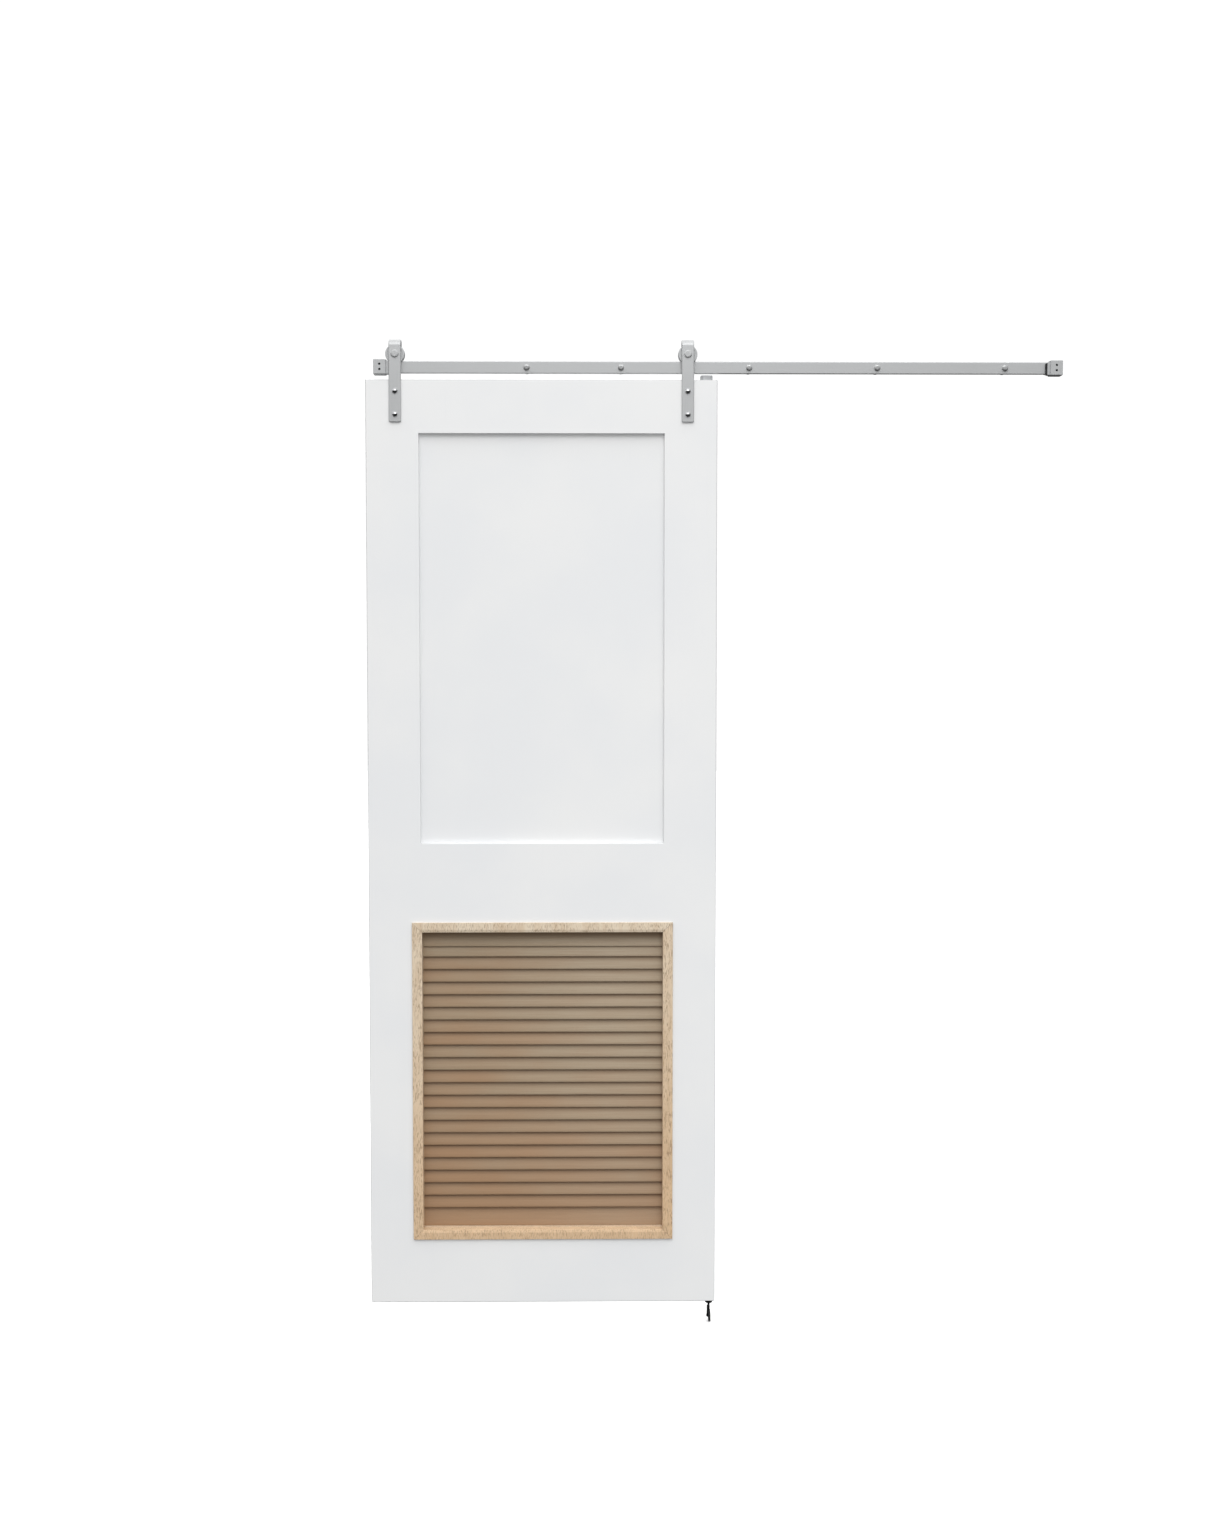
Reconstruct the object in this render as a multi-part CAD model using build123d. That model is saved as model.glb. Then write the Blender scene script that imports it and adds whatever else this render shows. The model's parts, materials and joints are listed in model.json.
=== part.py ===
from build123d import *
import math
import os

# Sliding barn door on a flat bar rail.
# Origin: where the axis of the left end lag screw crosses the wall face.
# +X along the rail to the viewer's right, +Y into the wall, +Z up. All sizes in millimetres.

# ---- door slab ----
door_width = 914.4
door_height = 2435.0
door_thickness = 35.0
door_edge_chamfer = 1.5
stile_width = 137.2
top_rail_height = 137.7
panel_opening_height = 1071.3
panel_thickness = 10.0
panel_recess = 12.0
panel_groove_depth = 8.0
panel_groove_clearance = 0.2

# ---- louvre insert ----
louvre_side_margin = 113.7
louvre_height = 847.0
louvre_bottom_margin = 170.7
louvre_member_width = 26.0
louvre_proud = 5.0
louvre_seat_width = 9.0
louvre_bevel_width = 7.5
louvre_bevel_depth = 4.0
slat_count = 23
slat_pitch = 33.7
slat_width = 40.0
slat_thickness = 6.0
slat_tilt = 14.0
slat_setback = 25.3
slat_housing_depth = 4.0
slat_housing_clearance = 0.1
slat_top_clearance = 2.0
bottom_slat_gap = 3.5
bottom_slat_extra = 15.8

# ---- rail and its wall fixings ----
rail_length = 1789.0
rail_height = 31.75
rail_thickness = 8.0
rail_edge_radius = 2.5
rail_left_overhang = 62.0
lag_pitch = 333.5
lag_short_pitch = 245.5
lag_shank_diameter = 7.0
lag_thread_diameter = 8.0
lag_clearance = 0.25
lag_flange_diameter = 16.0
lag_flange_thickness = 1.5
lag_hex_across_flats = 12.7
lag_head_height = 5.5
lag_depth_in_wall = 50.0
lag_tip_length = 6.0
hex_chamfer = 0.6
spacer_length = 30.0
spacer_body_diameter = 15.0
spacer_foot_diameter = 24.0
spacer_foot_thickness = 8.0

# ---- wheels and hangers ----
hanger_edge_distance = 77.2
axle_above_door = 66.0
wheel_rolling_radius = 17.5
wheel_flange_radius = 25.0
wheel_flange_thickness = 5.0
wheel_groove_clearance = 1.0
wheel_side_clearance = 1.5
wheel_edge_radius = 1.2
strap_width = 31.75
strap_thickness = 5.0
strap_drop = 110.0
strap_corner_radius = 4.5
strap_edge_radius = 2.0
strap_crown_rise = 21.3
axle_diameter = 8.0
axle_hole_clearance = 0.1
axle_head_diameter = 19.8
axle_head_height = 3.0
axle_head_chamfer = 2.4
axle_head_chamfer_depth = 1.9
axle_nut_across_flats = 13.0
axle_nut_height = 6.0
axle_end_proud = 0.5
axle_washer_diameter = 16.0
axle_washer_thickness = 1.2
bearing_outer_diameter = 22.0
bearing_width = 7.0
bearing_outer_wall = 1.9
bearing_inner_wall = 1.9
bearing_ball_diameter = 4.0
bearing_ball_count = 7
bearing_ball_clearance = 0.15
bearing_lip_clearance = 0.4
sleeve_diameter = 11.6

# ---- strap to door bolts ----
strap_bolt_drop = 30.0
strap_bolt_pitch = 60.0
strap_bolt_diameter = 8.0
strap_bolt_clearance = 0.25
strap_dome_diameter = 15.7
strap_dome_height = 5.0
strap_bolt_engagement = 15.0
sleeve_nut_flange_diameter = 16.0
sleeve_nut_flange_thickness = 3.0
sleeve_nut_barrel_diameter = 10.5
sleeve_nut_barrel_length = 20.0
sleeve_nut_clearance = 0.15
sleeve_nut_rim_radius = 1.2
sleeve_nut_socket = 5.0
sleeve_nut_socket_depth = 2.0

# ---- end stops ----
stop_length = 32.0
stop_depth = 32.0
stop_wall = 3.2
stop_rail_clearance = 0.2
stop_overhang = 1.0
stop_edge_radius = 1.2
stop_neck_length = 7.0
stop_neck_wall = 1.7
stop_neck_gap = 0.3
pad_thickness = 4.6
pad_top_inset = 2.8
pad_bottom_inset = 0.2
pad_side_gap = 0.3
park_clearance = 0.3
neck_scallop_extra = 1.0
wheel_landing = 12.0
set_screw_diameter = 6.0
set_screw_pitch = 13.6
set_screw_recess = 1.5
set_screw_socket = 3.0
set_screw_socket_depth = 3.0

# ---- anti-jump block on top of the door ----
jump_block_width = 31.0
jump_block_height = 12.5
jump_block_corner = 6.0
jump_block_top_chamfer = 1.5
jump_block_edge_distance = 28.0
jump_screw_diameter = 4.0
jump_screw_length = 38.0
jump_screw_head_diameter = 8.0
jump_screw_head_height = 3.5
jump_screw_sink = 0.4
jump_screw_tip_length = 4.0

# ---- swivel roller under the door ----
caster_edge_distance = 14.9
caster_flange_diameter = 20.6
caster_flange_height = 7.5
caster_cone_diameter = 12.0
caster_cone_height = 2.8
caster_sleeve_diameter = 9.0
caster_sleeve_length = 25.0
caster_stem_diameter = 5.8
caster_stem_clearance = 0.05
caster_stem_recess = 2.0
caster_stem_root = 1.0
caster_head_drop = 17.0
caster_head_height = 11.0
caster_head_depth = 11.0
caster_corner_radius = 2.0
caster_arm_thickness = 3.5
caster_arm_end_radius = 4.5
caster_arm_offset = 3.05
caster_wheel_diameter = 32.0
caster_wheel_width = 5.5
caster_wheel_gap = 0.5
caster_wheel_edge_radius = 2.4
caster_trail = 5.0
caster_axle_diameter = 4.0
caster_axle_clearance = 0.05
caster_axle_head_diameter = 7.0
caster_axle_head_height = 0.8
caster_axle_head_sink = 0.1
caster_hub_recess_gap = 0.2
caster_hub_recess_diameter = 10.0
caster_total_height = 62.0

# ---- margins used only while shaping ----
cut_margin = 1.0
full_round_gap = 0.01

# ---- worked-out places ----
rail_back_y = -spacer_length
rail_front_y = rail_back_y - rail_thickness
rail_mid_y = (rail_back_y + rail_front_y) / 2
rail_left_x = -rail_left_overhang
rail_right_x = rail_left_x + rail_length
rail_top_z = rail_height / 2
lag_steps = [lag_pitch, lag_short_pitch, lag_pitch, lag_pitch, lag_pitch]
lag_x = [sum(lag_steps[:i]) for i in range(len(lag_steps) + 1)]

wheel_groove_width = rail_thickness + 2 * wheel_groove_clearance
wheel_width = wheel_groove_width + 2 * wheel_flange_thickness
strap_gap = wheel_width + 2 * wheel_side_clearance
axle_z = rail_top_z + wheel_rolling_radius
door_front_y = rail_mid_y - strap_gap / 2
door_back_y = door_front_y + door_thickness
strap_front_y = door_front_y - strap_thickness
strap_rear_y = rail_mid_y + strap_gap / 2
strap_back_y = strap_rear_y + strap_thickness
door_top_z = axle_z - axle_above_door
door_bottom_z = door_top_z - door_height

stop_reach = stop_length - stop_overhang + stop_neck_length + pad_thickness
hanger_left_x = rail_left_x + stop_reach + wheel_landing
hanger_spacing = door_width - 2 * hanger_edge_distance
hanger_x = [hanger_left_x, hanger_left_x + hanger_spacing]
door_travel = rail_right_x - stop_reach - wheel_landing - hanger_x[1]
door_mid_x = (hanger_x[0] + hanger_x[1]) / 2
door_left_x = door_mid_x - door_width / 2
door_right_x = door_mid_x + door_width / 2
door_mid_y = (door_front_y + door_back_y) / 2

panel_top_z = door_top_z - top_rail_height
panel_bottom_z = panel_top_z - panel_opening_height
louvre_width = door_width - 2 * louvre_side_margin
louvre_bottom_z = door_bottom_z + louvre_bottom_margin
louvre_top_z = louvre_bottom_z + louvre_height
louvre_front_y = door_front_y - louvre_proud
louvre_mid_z = (louvre_bottom_z + louvre_top_z) / 2
cutout_inset = louvre_member_width - louvre_seat_width
louvre_inner_half = louvre_width / 2 - louvre_member_width


# ---- small helpers ----
def block(x0, x1, y0, y1, z0, z1):
    """Box between two corners."""
    return Pos((x0 + x1) / 2, (y0 + y1) / 2, (z0 + z1) / 2) * Box(x1 - x0, y1 - y0, z1 - z0)


def rod_y(x, z, y0, y1, radius):
    """Round bar along Y from y0 to y1."""
    return Pos(x, (y0 + y1) / 2, z) * Rot(90, 0, 0) * Cylinder(radius, y1 - y0)


def rod_x(y, z, x0, x1, radius):
    """Round bar along X from x0 to x1."""
    return Pos((x0 + x1) / 2, y, z) * Rot(0, 90, 0) * Cylinder(radius, x1 - x0)


def rod_z(x, y, z0, z1, radius):
    """Round bar along Z from z0 to z1."""
    return Pos(x, y, (z0 + z1) / 2) * Cylinder(radius, z1 - z0)


def turned_y(x, z, outline):
    """Solid turned about a line along Y; outline is a list of (radius, y) points."""
    face = make_face(Polyline([(r, y) for r, y in outline], close=True))
    return Pos(x, 0, z) * revolve(face, Axis.Y)


def turned_z(x, y, outline):
    """Solid turned about a line along Z; outline is a list of (radius, z) points."""
    face = make_face(Polyline([(r, 0, z) for r, z in outline], close=True))
    return Pos(x, y, 0) * revolve(face, Axis.Z)


def hex_y(x, z, y0, y1, across_flats, turn=0):
    """Hexagonal bar along Y from y0 to y1."""
    sketch = Rot(0, 0, turn) * RegularPolygon(across_flats / math.sqrt(3), 6)
    return Pos(x, y1, z) * Rot(90, 0, 0) * extrude(sketch, y1 - y0)


def save(node, *solids):
    """Write one named part, made of one solid or of several separate ones."""
    shape = solids[0] if len(solids) == 1 else Compound(children=list(solids))
    export_step(shape, f"parts/{node}.step")


# ---- rail side ----
def make_rail():
    bar = block(rail_left_x, rail_right_x, rail_front_y, rail_back_y, -rail_top_z, rail_top_z)
    bar = fillet(bar.edges().filter_by(Axis.X), rail_edge_radius)
    for x in lag_x:
        bar -= rod_y(x, 0, rail_front_y, rail_back_y, lag_thread_diameter / 2 + lag_clearance)
    return bar


def make_spacer(x):
    foot_y = -spacer_foot_thickness
    spacer = rod_y(x, 0, rail_back_y, foot_y, spacer_body_diameter / 2)
    spacer += rod_y(x, 0, foot_y, 0, spacer_foot_diameter / 2)
    return spacer - rod_y(x, 0, rail_back_y, 0, lag_thread_diameter / 2 + lag_clearance)


def make_lag_screw(x):
    flange_y = rail_front_y - lag_flange_thickness
    head_y = rail_front_y - lag_head_height
    tip_y = lag_depth_in_wall
    shank = lag_shank_diameter / 2
    thread = lag_thread_diameter / 2
    outline = [
        (0, flange_y),
        (lag_flange_diameter / 2, flange_y),
        (lag_flange_diameter / 2, rail_front_y),
        (shank, rail_front_y),
        (shank, 0),
        (thread, 0),
        (thread, tip_y - lag_tip_length),
        (0, tip_y),
    ]
    screw = turned_y(x, 0, outline)
    head = hex_y(x, 0, head_y, flange_y, lag_hex_across_flats)
    head = chamfer(head.faces().sort_by(Axis.Y)[0].edges(), hex_chamfer)
    return screw + head


def make_end_stop(side):
    """End stop block on the rail; side is -1 at the left end, +1 at the right end."""
    rail_end_x = rail_left_x if side < 0 else rail_right_x
    outer_x = rail_end_x + side * stop_overhang
    inner_x = outer_x - side * stop_length
    neck_x = inner_x - side * stop_neck_length
    half = rail_height / 2 + stop_wall
    y0 = rail_mid_y - stop_depth / 2
    y1 = rail_mid_y + stop_depth / 2
    body = block(min(outer_x, inner_x), max(outer_x, inner_x), y0, y1, -half, half)
    body = fillet(body.edges(), stop_edge_radius)
    neck_half = rail_height / 2 + stop_neck_wall
    neck_y0 = rail_mid_y - wheel_width / 2 - stop_neck_gap
    neck_y1 = rail_mid_y + wheel_width / 2 + stop_neck_gap
    inside_x = inner_x + side * 2 * stop_edge_radius
    neck = block(min(neck_x, inside_x), max(neck_x, inside_x), neck_y0, neck_y1, -neck_half, neck_half)
    scallop = wheel_flange_radius + park_clearance + neck_scallop_extra
    neck -= rod_y(parked_wheel_x(side), axle_z, neck_y0, neck_y1, scallop)
    stop = body + neck
    gap = stop_rail_clearance
    ends = sorted([neck_x - side * cut_margin, outer_x + side * cut_margin])
    stop -= block(*ends, rail_front_y - gap, rail_back_y, -rail_top_z - gap, rail_top_z + gap)
    for z in (-set_screw_pitch / 2, set_screw_pitch / 2):
        stop -= rod_y(stop_mid_x(side), z, y0, rail_front_y, set_screw_diameter / 2)
    return stop


def stop_mid_x(side):
    rail_end_x = rail_left_x if side < 0 else rail_right_x
    return rail_end_x + side * (stop_overhang - stop_length / 2)


def parked_wheel_x(side):
    """Axis of the wheel that touches the stop on that side when the door is parked there."""
    return hanger_x[0] if side < 0 else hanger_x[1] + door_travel


def make_pads(side):
    """Rubber pads on the neck of a stop, in front of and behind the rail."""
    rail_end_x = rail_left_x if side < 0 else rail_right_x
    base_x = rail_end_x - side * (stop_length - stop_overhang + stop_neck_length)
    face_x = base_x - side * pad_thickness
    z0 = -rail_height / 2 + pad_bottom_inset
    z1 = rail_height / 2 - pad_top_inset
    outer = wheel_width / 2
    inner = rail_thickness / 2 + pad_side_gap
    radius = wheel_flange_radius + park_clearance
    pads = []
    for y0, y1 in ((-outer, -inner), (inner, outer)):
        pad = block(min(base_x, face_x), max(base_x, face_x), rail_mid_y + y0, rail_mid_y + y1, z0, z1)
        pad -= rod_y(parked_wheel_x(side), axle_z, rail_mid_y + y0, rail_mid_y + y1, radius)
        pads.append(pad)
    return pads


def make_set_screw(side, z):
    x = stop_mid_x(side)
    y0 = rail_mid_y - stop_depth / 2 + set_screw_recess
    screw = rod_y(x, z, y0, rail_front_y, set_screw_diameter / 2)
    return screw - hex_y(x, z, y0, y0 + set_screw_socket_depth, set_screw_socket)


# ---- hangers ----
def make_strap(x):
    """Flat bar bent over the wheel: long front leg down the door, short rear leg at the axle."""
    crown_z = axle_z + strap_crown_rise
    bottom_z = door_top_z - strap_drop
    outer = strap_gap / 2 + strap_thickness
    inner = strap_gap / 2
    rear_end_z = axle_z - strap_width / 2
    front_leg = make_face(Polyline(
        [(-outer, bottom_z), (-inner, bottom_z), (-inner, crown_z), (-outer, crown_z)], close=True))
    rear_leg = make_face(Polyline(
        [(inner, rear_end_z), (outer, rear_end_z), (outer, crown_z), (inner, crown_z)], close=True))
    ring = Pos(0, crown_z) * (Circle(outer) - Circle(inner))
    arch = ring & (Pos(0, crown_z + outer / 2) * Rectangle(2 * outer, outer))
    profile = Plane.YZ * (front_leg + rear_leg + arch)
    bar = extrude(profile, strap_width / 2, both=True)
    bar = Pos(x, rail_mid_y, 0) * bar
    bottom_edges = bar.edges().filter_by(Axis.Y).group_by(Axis.Z)[0]
    bar = fillet(bottom_edges, strap_corner_radius)
    rear_edges = bar.edges().filter_by(Axis.Y).filter_by_position(
        Axis.Z, rear_end_z - cut_margin, rear_end_z + cut_margin)
    bar = fillet(rear_edges, strap_width / 2 - full_round_gap)
    front_face = bar.faces().filter_by(Axis.Y).sort_by(Axis.Y)[0]
    bar = fillet(front_face.edges(), strap_edge_radius)
    hole = axle_diameter / 2 + axle_hole_clearance
    bar -= rod_y(x, axle_z, strap_front_y, strap_back_y, hole)
    for z in strap_bolt_z():
        bar -= rod_y(x, z, strap_front_y, door_front_y, strap_bolt_diameter / 2 + strap_bolt_clearance)
    return bar


def strap_bolt_z():
    first = door_top_z - strap_bolt_drop
    return [first, first - strap_bolt_pitch]


def make_axle_bolt(x):
    head_y = strap_front_y - axle_head_height
    end_y = strap_back_y + axle_washer_thickness + axle_nut_height + axle_end_proud
    head_r = axle_head_diameter / 2
    outline = [
        (0, head_y),
        (head_r - axle_head_chamfer, head_y),
        (head_r, head_y + axle_head_chamfer_depth),
        (head_r, strap_front_y),
        (axle_diameter / 2, strap_front_y),
        (axle_diameter / 2, end_y),
        (0, end_y),
    ]
    return turned_y(x, axle_z, outline)


def make_axle_nut(x):
    y0 = strap_back_y + axle_washer_thickness
    nut = hex_y(x, axle_z, y0, y0 + axle_nut_height, axle_nut_across_flats)
    nut = chamfer(nut.faces().sort_by(Axis.Y)[-1].edges(), hex_chamfer)
    return nut - rod_y(x, axle_z, y0, y0 + axle_nut_height, axle_diameter / 2)


def make_axle_washer(x):
    y1 = strap_back_y + axle_washer_thickness
    washer = rod_y(x, axle_z, strap_back_y, y1, axle_washer_diameter / 2)
    return washer - rod_y(x, axle_z, strap_back_y, y1, axle_diameter / 2 + axle_hole_clearance)


def make_axle_sleeves(x):
    """Two spacer sleeves that hold the bearing in the middle of the strap's gap."""
    sleeves = []
    for y0, y1 in ((door_front_y, rail_mid_y - bearing_width / 2),
                   (rail_mid_y + bearing_width / 2, strap_rear_y)):
        sleeve = rod_y(x, axle_z, y0, y1, sleeve_diameter / 2)
        sleeves.append(sleeve - rod_y(x, axle_z, y0, y1, axle_diameter / 2 + axle_hole_clearance))
    return sleeves


def ball_track():
    """Radius of the circle that the ball centres lie on."""
    inner = axle_diameter / 2 + axle_hole_clearance + bearing_inner_wall
    outer = bearing_outer_diameter / 2 - bearing_outer_wall
    return (inner + outer) / 2


def ball_groove(x):
    """Ring that cuts the ball track in both bearing rings."""
    radius = bearing_ball_diameter / 2 + bearing_ball_clearance
    return Pos(x, rail_mid_y, axle_z) * Rot(90, 0, 0) * Torus(ball_track(), radius)


def make_bearing_inner_ring(x):
    y0 = rail_mid_y - bearing_width / 2
    y1 = rail_mid_y + bearing_width / 2
    bore = axle_diameter / 2 + axle_hole_clearance
    ring = rod_y(x, axle_z, y0, y1, bore + bearing_inner_wall) - rod_y(x, axle_z, y0, y1, bore)
    return ring - ball_groove(x)


def make_bearing_outer_ring(x):
    y0 = rail_mid_y - bearing_width / 2
    y1 = rail_mid_y + bearing_width / 2
    radius = bearing_outer_diameter / 2
    ring = rod_y(x, axle_z, y0, y1, radius) - rod_y(x, axle_z, y0, y1, radius - bearing_outer_wall)
    return ring - ball_groove(x)


def make_bearing_balls(x):
    balls = []
    for i in range(bearing_ball_count):
        turn = 2 * math.pi * i / bearing_ball_count
        place = Pos(x + ball_track() * math.sin(turn), rail_mid_y, axle_z + ball_track() * math.cos(turn))
        balls.append(place * Sphere(bearing_ball_diameter / 2))
    return balls


def make_wheel(x):
    """Grooved wheel that straddles the rail, bored for its bearing."""
    half = wheel_width / 2
    groove = wheel_groove_width / 2
    bore = bearing_outer_diameter / 2
    lip = bearing_width / 2
    clear_bore = bore - bearing_outer_wall + bearing_lip_clearance
    outline = [
        (bore, -half),
        (wheel_flange_radius, -half),
        (wheel_flange_radius, -groove),
        (wheel_rolling_radius, -groove),
        (wheel_rolling_radius, groove),
        (wheel_flange_radius, groove),
        (wheel_flange_radius, half),
        (clear_bore, half),
        (clear_bore, lip),
        (bore, lip),
    ]
    wheel = turned_y(x, axle_z, [(r, rail_mid_y + y) for r, y in outline])
    rims = wheel.edges().filter_by(GeomType.CIRCLE)
    rims = [edge for edge in rims if abs(edge.radius - wheel_flange_radius) < full_round_gap]
    return fillet(rims, wheel_edge_radius)


# ---- strap to door fixings ----
def make_strap_bolt(x, z):
    """Dome-headed bolt; the dome is a cap of a ball, turned in one piece with the shank."""
    radius = strap_bolt_diameter / 2
    half = strap_dome_diameter / 2
    dome_y = strap_front_y - strap_dome_height
    tip_y = door_back_y - sleeve_nut_barrel_length + strap_bolt_engagement
    ball = (half ** 2 + strap_dome_height ** 2) / (2 * strap_dome_height)
    middle = math.asin(half / ball) / 2
    crest = (ball * math.sin(middle), dome_y + ball * (1 - math.cos(middle)))
    dome = ThreePointArc((0, dome_y), crest, (half, strap_front_y))
    rest = Polyline((half, strap_front_y), (radius, strap_front_y), (radius, tip_y), (0, tip_y), (0, dome_y))
    return Pos(x, 0, z) * revolve(make_face([dome, rest]), Axis.Y)


def make_sleeve_nut(x, z):
    back_y = door_back_y + sleeve_nut_flange_thickness
    mouth_y = door_back_y - sleeve_nut_barrel_length
    nut = rod_y(x, z, mouth_y, door_back_y, sleeve_nut_barrel_diameter / 2)
    flange = rod_y(x, z, door_back_y, back_y, sleeve_nut_flange_diameter / 2)
    flange = fillet(flange.faces().sort_by(Axis.Y)[-1].edges(), sleeve_nut_rim_radius)
    socket_y = back_y - sleeve_nut_socket_depth
    nut += flange
    nut -= hex_y(x, z, socket_y, back_y, sleeve_nut_socket)
    return nut - rod_y(x, z, mouth_y, mouth_y + strap_bolt_engagement, strap_bolt_diameter / 2)


def strap_bolt_holes():
    """Stepped holes through the stiles for the strap bolts and their sleeve nuts."""
    holes = []
    mouth_y = door_back_y - sleeve_nut_barrel_length - sleeve_nut_clearance
    barrel = sleeve_nut_barrel_diameter / 2 + sleeve_nut_clearance
    for x in hanger_x:
        for z in strap_bolt_z():
            holes.append(rod_y(x, z, door_front_y, mouth_y, strap_bolt_diameter / 2 + strap_bolt_clearance))
            holes.append(rod_y(x, z, mouth_y, door_back_y, barrel))
    return holes


# ---- door slab ----
def door_envelope():
    """Whole slab with its outer edges eased; every door member is cut from it."""
    slab = block(door_left_x, door_right_x, door_front_y, door_back_y, door_bottom_z, door_top_z)
    return chamfer(slab.edges(), door_edge_chamfer)


def louvre_cutout():
    x0 = door_mid_x - louvre_width / 2 + cutout_inset
    x1 = door_mid_x + louvre_width / 2 - cutout_inset
    z0 = louvre_bottom_z + cutout_inset
    z1 = louvre_top_z - cutout_inset
    return block(x0, x1, door_front_y, door_back_y, z0, z1)


def panel_groove():
    """Space that the upper panel fills, grooves included, with its fitting clearance."""
    depth = panel_groove_depth + panel_groove_clearance
    x0 = door_left_x + stile_width - depth
    x1 = door_right_x - stile_width + depth
    y0 = door_front_y + panel_recess
    return block(x0, x1, y0, y0 + panel_thickness, panel_bottom_z - depth, panel_top_z + depth)


def make_stile(side, envelope):
    x0 = door_left_x if side < 0 else door_right_x - stile_width
    stile = envelope & block(x0, x0 + stile_width, door_front_y, door_back_y, door_bottom_z, door_top_z)
    stile -= louvre_cutout()
    stile -= panel_groove()
    for hole in strap_bolt_holes():
        stile -= hole
    if side > 0:
        stile -= jump_screw_hole()
        stile -= rod_z(caster_x, door_mid_y, door_bottom_z, door_bottom_z + caster_sleeve_length,
                       caster_sleeve_diameter / 2)
    return stile


def make_cross_rail(z0, z1, envelope):
    x0 = door_left_x + stile_width
    x1 = door_right_x - stile_width
    rail = envelope & block(x0, x1, door_front_y, door_back_y, z0, z1)
    rail -= louvre_cutout()
    return rail - panel_groove()


def make_upper_panel():
    x0 = door_left_x + stile_width - panel_groove_depth
    x1 = door_right_x - stile_width + panel_groove_depth
    z0 = panel_bottom_z - panel_groove_depth
    z1 = panel_top_z + panel_groove_depth
    y0 = door_front_y + panel_recess
    return block(x0, x1, y0, y0 + panel_thickness, z0, z1)


# ---- louvre insert ----
def louvre_member(length):
    """Mitred frame member lying along X, outer edge at z = 0, worked at y = 0 for the door face."""
    width = louvre_member_width
    bevel_z = width - louvre_bevel_width
    outline = [
        (0, 0),
        (-louvre_proud, 0),
        (-louvre_proud, bevel_z),
        (-louvre_proud + louvre_bevel_depth, width),
        (door_thickness, width),
        (door_thickness, cutout_inset),
        (0, cutout_inset),
    ]
    profile = Plane.YZ * make_face(Polyline(outline, close=True))
    bar = extrude(profile, length / 2, both=True)
    half = length / 2
    mitre = make_face(Polyline(
        [(-half, 0, 0), (half, 0, 0), (half - width, 0, width), (-half + width, 0, width)], close=True))
    return bar & extrude(mitre, 2 * door_thickness, both=True, dir=(0, 1, 0))


def place_member(turn, length, distance):
    """Turn a member about Y and push its outer edge out to the given distance from the centre."""
    bar = Pos(0, 0, -distance) * louvre_member(length)
    return Pos(door_mid_x, door_front_y, louvre_mid_z) * Rot(0, turn, 0) * bar


def slat_noses():
    """Height of each slat's lower front edge, from the bottom up."""
    first = louvre_bottom_z + louvre_member_width + bottom_slat_gap
    rise = (slat_width - slat_thickness) * math.cos(math.radians(slat_tilt)) + slat_thickness
    highest = louvre_top_z - louvre_member_width - slat_top_clearance - rise
    noses = [first]
    for i in range(1, slat_count):
        noses.append(min(first + bottom_slat_extra + i * slat_pitch, highest))
    return noses


def slat_bar(nose_z, width, length, extra):
    """Round-edged slat along X, leaning back from its nose; extra widens every face."""
    tilt = math.radians(slat_tilt)
    centre = (width - slat_thickness) / 2
    y = louvre_front_y + slat_setback + slat_thickness / 2 + centre * math.sin(tilt)
    z = nose_z + slat_thickness / 2 + centre * math.cos(tilt)
    section = Pos(y, z) * Rot(0, 0, 90 - slat_tilt) * SlotOverall(width + 2 * extra, slat_thickness + 2 * extra)
    return Pos(door_mid_x, 0, 0) * extrude(Plane.YZ * section, length / 2, both=True)


def make_slats(length, extra=0.0):
    slats = []
    for i, nose_z in enumerate(slat_noses()):
        width = slat_width + (bottom_slat_extra if i == 0 else 0)
        slats.append(slat_bar(nose_z, width, length, extra))
    return slats


# ---- anti-jump block ----
jump_x = door_right_x - jump_block_edge_distance
jump_top_z = door_top_z + jump_block_height


def make_jump_block():
    half = jump_block_width / 2
    body = block(jump_x - half, jump_x + half, door_mid_y - half, door_mid_y + half, door_top_z, jump_top_z)
    body = chamfer(body.edges().filter_by(Axis.Z), jump_block_corner)
    body = chamfer(body.faces().sort_by(Axis.Z)[-1].edges(), jump_block_top_chamfer)
    head_r = jump_screw_head_diameter / 2
    shank_r = jump_screw_diameter / 2
    seat_z = jump_top_z - jump_screw_head_height
    hole = turned_z(jump_x, door_mid_y, [
        (0, door_top_z), (shank_r, door_top_z), (shank_r, seat_z), (head_r, jump_top_z), (0, jump_top_z)])
    return body - hole


def make_jump_screw():
    head_r = jump_screw_head_diameter / 2
    shank_r = jump_screw_diameter / 2
    seat_z = jump_top_z - jump_screw_head_height
    sunk_z = jump_top_z - jump_screw_sink
    sunk_r = head_r - jump_screw_sink * (head_r - shank_r) / jump_screw_head_height
    tip_z = jump_top_z - jump_screw_length
    return turned_z(jump_x, door_mid_y, [
        (0, tip_z), (shank_r, tip_z + jump_screw_tip_length), (shank_r, seat_z), (sunk_r, sunk_z), (0, sunk_z)])


def jump_screw_hole():
    tip_z = jump_top_z - jump_screw_length
    return rod_z(jump_x, door_mid_y, tip_z, door_top_z, jump_screw_diameter / 2)


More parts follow.
